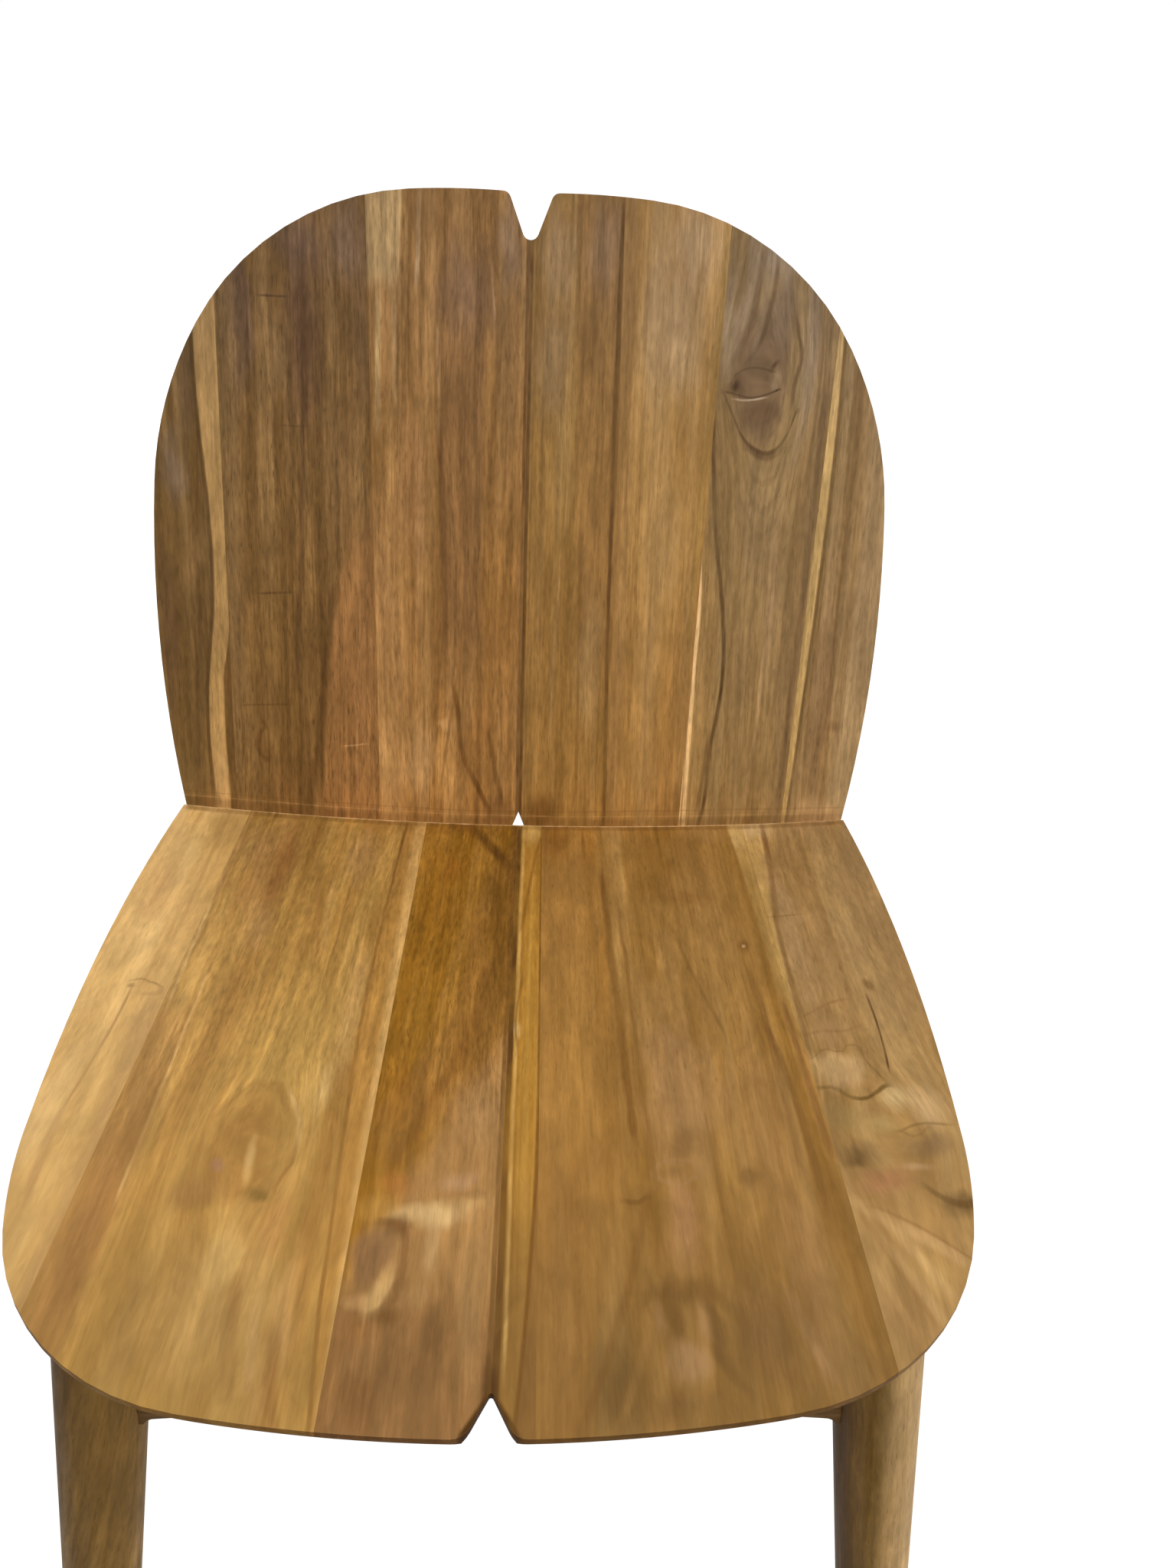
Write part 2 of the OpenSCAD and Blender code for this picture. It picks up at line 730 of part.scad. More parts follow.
module corner_block(side, front) {
    c = front ? front_corner : rear_corner;
    y = front ? block_len : -block_len;
    wood("block") difference() {
        sided(side) translate([c.x, c.y, block_bottom]) linear_extrude(rail_drop + spare)
            polygon([[0, 0], [-block_len, 0], [0, y]]);
        above_underside();
        leg_shaft(side, front);
        level_screws_at(side, front) screw_hole(frame_screw_len);
        upright_screw_at(side, front) screw_hole(seat_screw_len);
    }
}

// Glue lines of the seat, counted outwards from the middle seam
seat_left = [0, seat_left_inner_w, seat_left_inner_w + seat_left_main_w, far / 2];
seat_right = [0, seat_right_inner_w, seat_right_inner_w + seat_right_main_w, far / 2];
// Glue lines of the back, each at the crease and with its drift
back_left = [
    [0, 0], [back_left_inner_w, back_left_inner_drift],
    [back_left_inner_w + back_left_main_w, back_left_main_drift], [far / 2, 0]
];
back_right = [
    [0, 0], [back_right_inner_w, back_right_inner_drift],
    [back_right_inner_w + back_right_middle_w, back_right_middle_drift],
    [back_right_inner_w + back_right_middle_w + back_right_main_w, back_right_main_drift],
    [far / 2, 0]
];

module seat_slat(side, i) {
    lines = side < 0 ? seat_left : seat_right;
    difference() {
        seat_stave(side, lines[i], lines[i + 1]) children();
        for (front = [true, false]) upright_screw_at(side, front) shank_hole(seat_screw_len);
    }
}

module back_slat(side, i) {
    lines = side < 0 ? back_left : back_right;
    back_stave(side, lines[i][0], lines[i][1], lines[i + 1][0], lines[i + 1][1]) {
        post_screws_at(side) shank_hole(frame_screw_len);
        children();
    }
}

module batten_screws_in(i) {
    x = batten_screw_x[i];
    back_screw_at(x, back_rail_at, batten_screw_len) children();
}

// The pieces
module front_leg_left() front_leg(-1);
module front_leg_right() front_leg(1);
module rear_leg_left() rear_leg(-1);
module rear_leg_right() rear_leg(1);
module front_rail() cross_rail(true);
module rear_rail() cross_rail(false);
module side_rail_left() side_rail(-1);
module side_rail_right() side_rail(1);

module back_rail() {
    wood("rail") difference() {
        batten_body();
        for (side = [-1, 1]) {
            rear_leg_shaft(side);
            batten_dowels(side, fit_gap);
        }
        at_back() for (i = [0:3]) batten_screws_in(i) screw_hole(batten_screw_len);
    }
}

module block_front_left() corner_block(-1, true);
module block_front_right() corner_block(1, true);
module block_rear_left() corner_block(-1, false);
module block_rear_right() corner_block(1, false);

module seat_left_outer() wood("tan") seat_slat(-1, 2);
module seat_left_main() wood("brown") seat_slat(-1, 1);
module seat_left_inner() wood("orange") seat_slat(-1, 0) seat_middle_cuts(-1);
module seat_right_inner() wood("tan") seat_slat(1, 0) seat_middle_cuts(1);
module seat_right_main() wood("gold") seat_slat(1, 1);
module seat_right_outer() wood("grey") seat_slat(1, 2);

module back_left_outer() wood("dark") back_slat(-1, 2);
module back_left_main() wood("dark") back_slat(-1, 1) batten_screws_in(0) shank_hole(batten_screw_len);
module back_left_inner() {
    wood("brown") back_slat(-1, 0) {
        back_middle_cuts(-1);
        batten_screws_in(1) shank_hole(batten_screw_len);
    }
}
module back_right_inner() {
    wood("olive") back_slat(1, 0) {
        back_middle_cuts(1);
        batten_screws_in(2) shank_hole(batten_screw_len);
    }
}
module back_right_middle() {
    wood("tan") back_slat(1, 1) batten_screws_in(3) shank_hole(batten_screw_len);
}
module back_right_main() wood("grey") back_slat(1, 2);
module back_right_outer() wood("brown") back_slat(1, 3);

module seat_tongue() wood("block") at_seat() seat_tongue_body(0);
module back_tongue() wood("block") at_back() back_tongue_body(0);

module dowels() {
    wood("block") for (side = [-1, 1]) {
        corner_dowels(side, true, 0);
        corner_dowels(side, false, 0);
        batten_dowels(side, 0);
    }
}

module frame_screws() {
    color(steel) for (side = [-1, 1]) {
        for (front = [true, false]) level_screws_at(side, front) screw(frame_screw_len);
        at_back() post_screws_at(side) screw(frame_screw_len);
    }
}

module seat_screws() {
    color(steel) for (side = [-1, 1], front = [true, false])
        upright_screw_at(side, front) screw(seat_screw_len);
}

module batten_screws() {
    color(steel) at_back() for (i = [0:3]) batten_screws_in(i) screw(batten_screw_len);
}

// A plug fills the recess behind a screw head, flush with the surface round it
module plug() {
    top = screw_head_h + end_gap;
    translate([0, 0, -top - spare]) cylinder(h = spare, d = plug_d, $fn = 32);
}

module back_plugs() {
    wood("block") {
        for (side = [-1, 1]) intersection() {
            rear_leg_shaft(side);
            at_back() post_screws_at(side) plug();
        }
        intersection() {
            batten_body();
            at_back() for (i = [0:3]) batten_screws_in(i) plug();
        }
    }
}

module foot_glides() {
    color([0.16, 0.14, 0.13]) for (side = [-1, 1], front = [true, false])
        glide_at(side, front) {
            cylinder(h = glide_h, d = glide_d, $fn = 48);
            translate([0, 0, glide_h - end_gap]) cylinder(h = pin_len + end_gap, d = pin_d, $fn = 32);
        }
}

front_leg_left();
front_leg_right();
rear_leg_left();
rear_leg_right();
front_rail();
rear_rail();
side_rail_left();
side_rail_right();
back_rail();
block_front_left();
block_front_right();
block_rear_left();
block_rear_right();
seat_left_outer();
seat_left_main();
seat_left_inner();
seat_right_inner();
seat_right_main();
seat_right_outer();
back_left_outer();
back_left_main();
back_left_inner();
back_right_inner();
back_right_middle();
back_right_main();
back_right_outer();
seat_tongue();
back_tongue();
dowels();
frame_screws();
seat_screws();
batten_screws();
back_plugs();
foot_glides();
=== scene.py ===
# Dining chair in solid teak: two dished panels of glued staves on round, tapered legs
from math import cos, pi, radians, sin

import bmesh
import bpy
from mathutils import Matrix, Vector


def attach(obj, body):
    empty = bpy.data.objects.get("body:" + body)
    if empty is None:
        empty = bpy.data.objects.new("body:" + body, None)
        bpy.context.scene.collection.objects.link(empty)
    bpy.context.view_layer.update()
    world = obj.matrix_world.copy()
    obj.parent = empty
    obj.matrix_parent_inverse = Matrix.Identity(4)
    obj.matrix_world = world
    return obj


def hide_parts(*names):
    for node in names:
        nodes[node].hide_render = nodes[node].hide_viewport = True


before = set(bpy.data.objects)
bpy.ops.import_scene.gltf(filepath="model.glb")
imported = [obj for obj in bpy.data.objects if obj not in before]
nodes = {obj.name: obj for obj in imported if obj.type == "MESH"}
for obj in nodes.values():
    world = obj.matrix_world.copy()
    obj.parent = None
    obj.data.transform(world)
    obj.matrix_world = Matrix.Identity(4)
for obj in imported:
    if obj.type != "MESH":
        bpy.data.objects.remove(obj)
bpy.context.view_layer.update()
print("frame loaded:", len(nodes), "nodes")

# The crease where the seat meets the back. Both panels are measured from it in millimetres:
# across from the middle seam, and along the board forwards on the seat or up on the back.
crease = dict(y=0.16072, z=0.432, seatSlope=3.0, recline=15.7)
curveSpan = 1000.0  # a path's places, in millimetres, are kept as shares of this


# Small helpers for node trees

def tone(r, g, b):
    # A colour as seen on screen, 0 to 255, made linear
    parts = [c / 255 for c in (r, g, b)]
    return tuple(c / 12.92 if c <= 0.04045 else ((c + 0.055) / 1.055) ** 2.4 for c in parts) + (1.0,)


def put(tree, kind, values=None, **settings):
    node = tree.nodes.new("ShaderNode" + kind)
    for name, value in settings.items():
        setattr(node, name, value)
    for key, value in (values or {}).items():
        if isinstance(value, bpy.types.NodeSocket):
            tree.links.new(value, node.inputs[key])
        else:
            node.inputs[key].default_value = value
    return node


def maths(tree, operation, *values):
    return put(tree, "Math", dict(enumerate(values)), operation=operation).outputs[0]


def times(tree, first, second):
    return maths(tree, "MULTIPLY", first, second)


def fade(tree, value, start, end, low=0.0, high=1.0):
    # A smooth step: low at start and high at end
    node = put(tree, "MapRange", {0: value, 1: start, 2: end, 3: low, 4: high},
               interpolation_type="SMOOTHSTEP")
    return node.outputs[0]


def blend(tree, amount, under, over, mode="MIX"):
    node = put(tree, "Mix", {0: amount, 6: under, 7: over}, data_type="RGBA", blend_type=mode)
    return node.outputs[2]


def combined(tree, *values):
    return put(tree, "CombineXYZ", dict(enumerate(values))).outputs[0]


def separated(tree, vector):
    return put(tree, "SeparateXYZ", {0: vector}).outputs


def moved(tree, vector, by):
    return put(tree, "VectorMath", {0: vector, 1: by}, operation="ADD").outputs[0]


def emptied(owner):
    # The node tree of a material or world, with nothing in it
    owner.use_nodes = True
    owner.node_tree.nodes.clear()
    return owner.node_tree


def newGroup(name, inputs, outputs):
    group = bpy.data.node_groups.new(name, "ShaderNodeTree")
    for label, kind, value in inputs:
        socket = group.interface.new_socket(label, in_out="INPUT", socket_type="NodeSocket" + kind)
        if value is not None:
            socket.default_value = value
    for label in outputs:
        group.interface.new_socket(label, in_out="OUTPUT", socket_type="NodeSocketFloat")
    start = group.nodes.new("NodeGroupInput")
    end = group.nodes.new("NodeGroupOutput")
    return group, start.outputs, end.inputs


def useGroup(tree, group, values):
    return put(tree, "Group", values, node_tree=group).outputs


# Grain of one board. The vector is in millimetres: across, along and into the board.

wood = dict(
    apart=371.0,  # from one board's place in the noise to the next one's, in millimetres
    through=4000.0,  # half the height of an oval, so that it goes through the board
    drift=(9.0, 14.4), rag=20.0,  # how far the noise pulls ovals and arches about, in millimetres
    broken=(0.7, 0.55), flame=0.34, clouds=(0.24, 0.88),  # how strongly the noises tell
    gloss=(-0.12, 0.62), specular=0.06, relief=0.15, depth=0.0004,
    pore=0.7,  # a pore's share of the darkest tone
    rubbed=0.25,  # what is left of flecks and pores where the seat is rubbed smooth
    endGrainAndShade=(168, 156, 138),  # what end grain, together with painted shade along the boards' end edges, leaves of a board's colour
    endFacing=(0.3, 0.75), endShare=0.85)


def makeGrain():
    group, given, out = newGroup(
        "boardGrain",
        [("Vector", "Vector", None), ("Seed", "Float", 0.0), ("Waver", "Float", 4.0),
         ("Band", "Float", 9.0)],
        ["Tone", "Streak", "Pore", "Mottle", "Flame", "Fleck", "Rag", "Shift", "Slide"])

    def noise(vector, size, **settings):
        # The size of its clouds is in millimetres
        scale = tuple(1 / s for s in size) if isinstance(size, tuple) else size
        place = put(group, "Mapping", {"Vector": vector, "Scale": scale}).outputs[0]
        return put(group, "TexNoise", {"Vector": place, "Scale": 1.0, **settings}).outputs

    def centred(value, name):
        group.links.new(maths(group, "SUBTRACT", value, 0.5), out[name])

    shift = times(group, given["Seed"], wood["apart"])
    offset = moved(group, given["Vector"], combined(group, shift, shift, shift))
    sway = noise(offset, (45, 240, 45), Detail=2.0)[0]
    sway = times(group, maths(group, "SUBTRACT", sway, 0.5), given["Waver"])
    swayed = moved(group, offset, combined(group, sway, 0.0, sway))

    wide = maths(group, "DIVIDE", 1.0, given["Band"])
    band = noise(swayed, combined(group, wide, 1 / 420, wide), Detail=3.0, Roughness=0.55)[0]
    group.links.new(fade(group, band, 0.28, 0.72), out["Tone"])
    for name, size, low, high, settings in (
            ("Streak", (4.5, 120, 4.5), 0.3, 0.7, dict(Detail=5.0, Roughness=0.72)),
            ("Pore", (0.8, 9, 0.8), 0.6, 0.74, dict(Detail=1.0)),
            ("Mottle", (16, 46, 16), 0.3, 0.7, dict(Detail=3.0, Distortion=0.6))):
        group.links.new(fade(group, noise(swayed, size, **settings)[0], low, high), out[name])

    centred(noise(swayed, (1.9, 9, 1.9), Detail=2.0)[0], "Fleck")
    centred(noise(swayed, (3.0, 15, 3.0), Detail=3.0, Distortion=1.2)[0], "Flame")
    centred(noise(offset, (9, 30, 30), Detail=3.0)[0], "Rag")
    drift = separated(group, noise(offset, (26, 34, 26), Detail=3.0)[1])
    centred(drift[0], "Shift")
    centred(drift[1], "Slide")
    return group


# Distance from the middle of an oval, 1 at its rim, and the place along and across it

def makeOval():
    group, given, out = newGroup(
        "oval", [("Vector", "Vector", None), ("Centre", "Vector", None), ("Turn", "Vector", None),
                 ("Size", "Vector", None), ("Rag", "Float", 0.0)],
        ["Distance", "Along", "Across"])
    local = put(group, "Mapping", {"Vector": given["Vector"], "Location": given["Centre"],
                                   "Rotation": given["Turn"], "Scale": given["Size"]},
                vector_type="TEXTURE").outputs[0]
    reach = put(group, "VectorMath", {0: local}, operation="LENGTH").outputs["Value"]
    group.links.new(maths(group, "ADD", reach, given["Rag"]), out["Distance"])
    across, along = separated(group, local)[:2]
    group.links.new(along, out["Along"])
    group.links.new(across, out["Across"])
    return group


boardGrain = makeGrain()
oval = makeOval()
print("grain ready")


# Features of a board, drawn over its grain. A place is (across, along) in millimetres. A path is a
# list of (along, across), or for a level line of (across, along).

shape = dict(
    lineCore=0.3, ringCore=0.2,  # how far in a line's or ring's soft edge reaches
    heavy=(-0.5, 0.8), light=0.1,  # a ring gets heavier between these shares of its oval
    open=(-0.3, 0.4),  # and opens between these
    archWave=(0.1, 0.95), archField=(1.2, 0.5), archRag=0.8)


def pathValue(tree, run, path):
    # The path's value at each place of its run
    node = put(tree, "FloatCurve", {"Value": maths(tree, "MULTIPLY_ADD", run, 1 / curveSpan, 0.5)})
    curve = node.mapping.curves[0]
    places = sorted((a / curveSpan + 0.5, b / curveSpan + 0.5) for a, b in path)
    curve.points[0].location = places[0]
    curve.points[1].location = places[-1]
    for place in places[1:-1]:
        curve.points.new(*place)
    node.mapping.extend = "HORIZONTAL"
    node.mapping.update()
    return maths(tree, "MULTIPLY_ADD", node.outputs[0], curveSpan, -0.5 * curveSpan)


def lineMask(tree, board, line):
    soft = line.get("soft", 0.8)
    value, run = board["loose"] if line.get("loose") else (board["across"], board["along"])
    if line.get("level"):
        run, value = value, run
    wobble = maths(tree, "MULTIPLY_ADD", board["rag"], line.get("wobble", 1.0), value)
    away = maths(tree, "ABSOLUTE", maths(tree, "SUBTRACT", wobble, pathValue(tree, run, line["path"])))
    half = line["width"] / 2
    mask = fade(tree, away, half + soft, half - shape["lineCore"] * soft)
    mask = times(tree, mask, maths(tree, "MULTIPLY_ADD", board["mottle"], *wood["broken"]))
    ends = sorted(a for a, b in line["path"])
    taper = line.get("taper", 10.0)
    mask = times(tree, mask, fade(tree, run, ends[0] - taper, ends[0] + taper))
    return times(tree, mask, fade(tree, run, ends[-1] + taper, ends[-1] - taper))


def zoneMask(tree, board, zone):
    soft = zone.get("soft", 2.0)
    across = maths(tree, "MULTIPLY_ADD", board["rag"], zone.get("wobble", soft), board["across"])
    mask = None
    for side, sign in (("left", 1), ("right", -1)):
        if side in zone:
            inside = maths(tree, "SUBTRACT", across, pathValue(tree, board["along"], zone[side]))
            edge = fade(tree, times(tree, inside, sign), -soft, soft)
            mask = times(tree, mask, edge) if mask else edge
    for end, sign in (("start", 1), ("end", -1)):
        if end in zone:
            run = zone.get("run", 20.0) * sign
            edge = fade(tree, board["along"], zone[end] - run, zone[end] + run)
            mask = times(tree, mask, edge) if mask else edge
    return mask


def ovalAt(tree, board, spot, rag):
    return useGroup(tree, oval, {
        "Vector": board["vector"], "Centre": (*spot["at"], 0.0),
        "Turn": (0.0, 0.0, radians(spot.get("turn", 0.0))), "Size": (*spot["size"], wood["through"]),
        "Rag": times(tree, board["rag"], rag)})


def blotMask(tree, board, blot):
    reach = ovalAt(tree, board, blot, blot.get("rag", 1.1))["Distance"]
    return fade(tree, reach, blot.get("edge", 1.4), blot.get("core", 0.2))


def ringMask(tree, board, ring):
    place = ovalAt(tree, board, ring, ring.get("rag", 0.25))
    off = maths(tree, "ABSOLUTE", maths(tree, "SUBTRACT", place["Distance"], 1.0))
    mask = fade(tree, off, ring["width"], ring["width"] * shape["ringCore"])
    if "heavy" in ring:  # heavier towards one end of the oval
        start, end = (share * ring["heavy"] for share in shape["heavy"])
        mask = times(tree, mask, fade(tree, place["Along"], start, end, shape["light"], 1.0))
    if "open" in ring:  # only on one side of the oval
        start, end = (share * ring["open"] for share in shape["open"])
        mask = times(tree, mask, fade(tree, place["Across"], start, end))
    return mask


def archMask(tree, board, arch):
    # Nested arches, as where a board cuts the growth rings flat
    x = maths(tree, "SUBTRACT", board["across"], arch["at"][0])
    bend = maths(tree, "DIVIDE", times(tree, x, x), 2 * arch["radius"])
    run = times(tree, maths(tree, "SUBTRACT", board["along"], arch["at"][1]), arch["point"])
    depth = maths(tree, "ADD", maths(tree, "ADD", bend, run), times(tree, board["rag"], wood["rag"]))
    wave = maths(tree, "SINE", times(tree, depth, 2 * pi / arch["step"]))
    field = fade(tree, ovalAt(tree, board, arch, shape["archRag"])["Distance"], *shape["archField"])
    return times(tree, fade(tree, wave, *shape["archWave"]), field)


features = dict(zones=zoneMask, blots=blotMask, arches=archMask, rings=ringMask, lines=lineMask)


def woodMaterial(name, look, place):
    material = bpy.data.materials.new(name)
    tree = emptied(material)
    spot = put(tree, "TexCoord").outputs["Object"]
    vector = put(tree, "Mapping", {"Vector": spot, "Location": place["at"], "Rotation": place["turn"],
                                   "Scale": place.get("scale", (0.001, 0.001, 0.001))},
                 vector_type="TEXTURE").outputs[0]
    across, along = separated(tree, vector)[:2]
    board = dict(vector=vector, across=across, along=along)

    flow = vector
    for knot in look.get("knots", []):  # the grain bulges round each knot
        near = useGroup(tree, oval, {"Vector": vector, "Centre": (*knot["at"], 0.0),
                                     "Size": (*knot["size"], wood["through"])})
        square = maths(tree, "POWER", near["Distance"], 2.0)
        hold = maths(tree, "EXPONENT", times(tree, square, -1.0))
        push = times(tree, near["Across"], hold)
        push = times(tree, push, -knot["push"] * knot["size"][0])
        flow = moved(tree, flow, combined(tree, push))

    grain = useGroup(tree, boardGrain, {"Vector": flow, "Seed": look["seed"],
                                        "Waver": look["waver"], "Band": look["band"]})
    board["rag"], board["mottle"] = grain["Rag"], grain["Mottle"]
    drift = combined(tree, *(times(tree, grain[axis], reach)
                             for axis, reach in zip(("Shift", "Slide"), wood["drift"])))
    board["vector"] = moved(tree, vector, drift)
    board["loose"] = separated(tree, board["vector"])[:2]

    ramp = put(tree, "ValToRGB", {0: grain["Tone"]})
    stops = ramp.color_ramp.elements
    dark, middle, light = look["tones"]
    stops[0].color = tone(*dark)
    stops[1].color = tone(*light)
    stops.new(0.5).color = tone(*middle)
    colour = ramp.outputs[0]
    for kind, maskOf in features.items():
        for feature in look.get(kind, []):
            mask = times(tree, maskOf(tree, board, feature), feature["amount"])
            colour = blend(tree, mask, colour, tone(*feature["colour"]))

    for wash in look.get("washes", []):  # painted light and shade: a part of the board made lighter or darker as the light falls
        mask = zoneMask(tree, board, wash)
        colour = blend(tree, mask, colour, tuple(t ** 2.2 for t in wash["tint"]) + (1.0,), "MULTIPLY")
    if "ends" in place:  # end grain takes the oil deeper, and this darkening is also painted shade along the rims, as under the seat's front edge
        facing = put(tree, "VectorMath", {0: put(tree, "NewGeometry").outputs["Normal"], 1: place["ends"]},
                     operation="DOT_PRODUCT").outputs["Value"]
        mask = fade(tree, maths(tree, "ABSOLUTE", facing), *wood["endFacing"], 0.0, wood["endShare"])
        colour = blend(tree, mask, colour, tone(*wood["endGrainAndShade"]), "MULTIPLY")

    # Soft clouds, fine streaks, flecks and open pores lie over everything
    depth = look.get("grain", 0.13)
    rough = look.get("smooth")  # where on the board hands and clothes have rubbed it smooth
    rough = fade(tree, board["along"], rough[1], rough[0], wood["rubbed"], 1.0) if rough else 1.0
    uneven = maths(tree, "MULTIPLY_ADD", grain["Mottle"], 2.0 * depth, depth)
    uneven = times(tree, uneven, maths(tree, "MULTIPLY_ADD", rough, 0.5, 0.5))
    streak = maths(tree, "MULTIPLY_ADD", maths(tree, "SUBTRACT", grain["Streak"], 0.5), uneven, 1.0)
    streak = maths(tree, "MULTIPLY_ADD", grain["Flame"], wood["flame"], streak)
    flecks = times(tree, rough, look.get("fleck", 0.5))
    streak = maths(tree, "MULTIPLY_ADD", grain["Fleck"], flecks, streak)
    light = times(tree, streak, maths(tree, "MULTIPLY_ADD", grain["Mottle"], *wood["clouds"]))
    streaked = put(tree, "VectorMath", {0: colour, "Scale": light}, operation="SCALE").outputs[0]
    pores = times(tree, times(tree, grain["Pore"], rough), look.get("pores", 0.3))
    colour = blend(tree, pores, streaked, tone(*[c * wood["pore"] for c in dark]))

    gloss = maths(tree, "MULTIPLY_ADD", grain["Streak"], *wood["gloss"])
    height = maths(tree, "SUBTRACT", times(tree, grain["Streak"], 0.5), grain["Pore"])
    bump = put(tree, "Bump", {"Height": height, "Strength": wood["relief"],
                              "Distance": wood["depth"]}).outputs[0]
    shader = put(tree, "BsdfPrincipled", {"Base Color": colour, "Roughness": gloss, "Normal": bump,
                                          "Specular IOR Level": wood["specular"]})
    put(tree, "OutputMaterial", {0: shader.outputs[0]})
    return material


def placed(*turn, at=(0.0, 0.0, 0.0), **more):
    # Where a board lies in the scene; its turn is in degrees
    return dict(at=at, turn=tuple(radians(a) for a in turn), **more)


atCrease = (0.0, crease["y"], crease["z"])
lean = radians(crease["recline"])
seatPlace = placed(-crease["seatSlope"], 0, 0, at=atCrease, scale=(0.001, -0.001, 0.001),
                   ends=(0.0, 1.0, 0.0))
backPlace = placed(90 - crease["recline"], 0, 0, at=atCrease, ends=(0.0, sin(lean), cos(lean)))
crosswise = placed(0, 0, 90)
lengthwise = placed(0, 0, 0)


# Pieces: a copy of the CAD solid, its sharp edges eased, with its finish

edging = dict(merge=1e-6, flat=radians(0.3), sharp=radians(28), smooth=radians(40),
              glueFace=0.002, upright=0.97, segments=3)


def onGlueLine(edge):
    # The long flat faces that meet the next stave stay square
    return any(f.calc_area() > edging["glueFace"] and abs(f.normal.x) > edging["upright"]
               for f in edge.link_faces)


def easedPiece(node, material, ease):
    mesh = nodes[node].data.copy()
    mesh.name = node
    bm = bmesh.new()
    bm.from_mesh(mesh)
    bmesh.ops.remove_doubles(bm, verts=bm.verts[:], dist=edging["merge"])
    bmesh.ops.dissolve_limit(bm, angle_limit=edging["flat"], verts=bm.verts[:], edges=bm.edges[:])
    sharp = [e for e in bm.edges if e.is_manifold and e.calc_face_angle() > edging["sharp"]
             and not onGlueLine(e)]
    if sharp:
        bmesh.ops.bevel(bm, geom=sharp, offset=ease, affect="EDGES", segments=edging["segments"],
                        profile=0.5, material=-1, clamp_overlap=True)
    for face in bm.faces:
        face.smooth = True
    bm.to_mesh(mesh)
    bm.free()
    mesh.set_sharp_from_angle(angle=edging["smooth"])
    mesh.materials.clear()
    mesh.materials.append(material)
    piece = bpy.data.objects.new(node + "_wood", mesh)
    bpy.context.scene.collection.objects.link(piece)
    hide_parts(node)
    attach(piece, "root")


staveEase = 0.0016


def stave(node, place, look):
    onSeat = place is seatPlace
    look["lines"] += seatLines if onSeat else backLines
    look["washes"] = seatPaintedLightShade if onSeat else backPaintedLightShade
    if onSeat:
        look["smooth"] = seatSmooth
    easedPiece(node, woodMaterial(node, look, place), staveEase)


# The rows that describe a board's figure

def blot(at, size, colour, amount, **more):
    return dict(at=at, size=size, colour=colour, amount=amount, **more)


def ring(at, size, width, colour, amount, **more):
    return dict(at=at, size=size, width=width, colour=colour, amount=amount, **more)


def stroke(path, width, colour, amount, **more):
    return dict(path=path, width=width, colour=colour, amount=amount, **more)


def zone(colour, amount, **more):
    return dict(colour=colour, amount=amount, **more)


# A painted light or shade: a tint over part of a board
def wash(*tint, **more):
    return dict(tint=tint, **more)


# Marks that run across all staves beside the crease; the seat's pale line is a painted highlight along the
# crease's edge
seatLines = [
    stroke([(-230, 9.4), (-100, 2.2), (0, 0.4), (100, 2.2), (230, 9.4)], 1, (220, 182, 134), 0.75,
        level=True, soft=0.7),
    stroke([(-230, 13), (-100, 5.5), (0, 3.5), (100, 5.5), (230, 13)], 3.5, (112, 76, 36), 0.45,
        level=True, soft=2.5)]
backLines = [
    stroke([(-230, 17), (-100, 5), (0, 2), (100, 5), (230, 17)], 4, (92, 62, 32), 0.4, level=True, soft=3),
    stroke([(-230, 21), (-100, 10), (0, 7), (100, 10), (230, 19)], 0.6, (186, 146, 98), 0.2,
        level=True, soft=0.5),
    stroke([(-230, 24), (-100, 13), (0, 10), (100, 14), (230, 23)], 0.6, (96, 66, 34), 0.25,
        level=True, soft=0.5)]

# Painted light beside the crease on both panels, against the crease's shade, and painted shade towards the
# seat's front and the top of the back
seatPaintedLightShade = [wash(1.05, 1.04, 1.02, end=12, run=14), wash(0.94, 0.95, 0.97, start=372, run=50)]
backPaintedLightShade = [wash(1.05, 1.03, 1.0, end=22, run=20), wash(1.06, 1.055, 1.03, end=80, run=60),
              wash(0.985, 0.99, 1.0, start=190, run=70), wash(0.92, 0.93, 0.98, start=292, run=60)]
seatSmooth = (230, 330)  # between these two places the seat's front part gets smooth

# Seat staves, from the left
stave("seat_left_outer", seatPlace, dict(
    tones=[(188, 146, 84), (202, 160, 95), (212, 172, 107)], seed=1, band=14, waver=10, grain=0.09,
    pores=0.2, fleck=0.3,
    zones=[
        zone((184, 143, 82), 0.55, left=[(0, -203), (120, -200), (200, -203), (290, -206), (400, -204)],
            soft=4),
        zone((170, 130, 80), 0.5, left=[(0, -195), (210, -195), (250, -192), (400, -188)], start=215,
            soft=3)],
    blots=[
        blot((-214, 110), (8, 40), (182, 140, 82), 0.5), blot((-214, 112), (12, 44), (186, 144, 84), 0.6),
        blot((-210, 10), (26, 12), (216, 176, 116), 0.5),
        blot((-203, 202), (3, 2.6), (134, 98, 54), 0.7, rag=1.8),
        blot((-215, 300), (10, 50), (206, 170, 114), 0.5)],
    rings=[ring((-196, 202), (8, 5), 0.3, (160, 120, 72), 0.35, open=1, rag=0.6)],
    lines=[
        stroke([(-205, 199), (-200, 195.5), (-194, 196), (-188, 200)], 1, (132, 96, 54), 0.6, level=True,
            taper=3, loose=True),
        stroke([(200, -203), (212, -202.5), (240, -203), (292, -206)], 0.7, (136, 98, 54), 0.55),
        stroke([(292, -206), (320, -205), (350, -201)], 2.5, (160, 122, 76), 0.5, soft=2),
        stroke([(0, -197), (190, -193)], 1.2, (158, 118, 66), 0.35, soft=1.5)]))

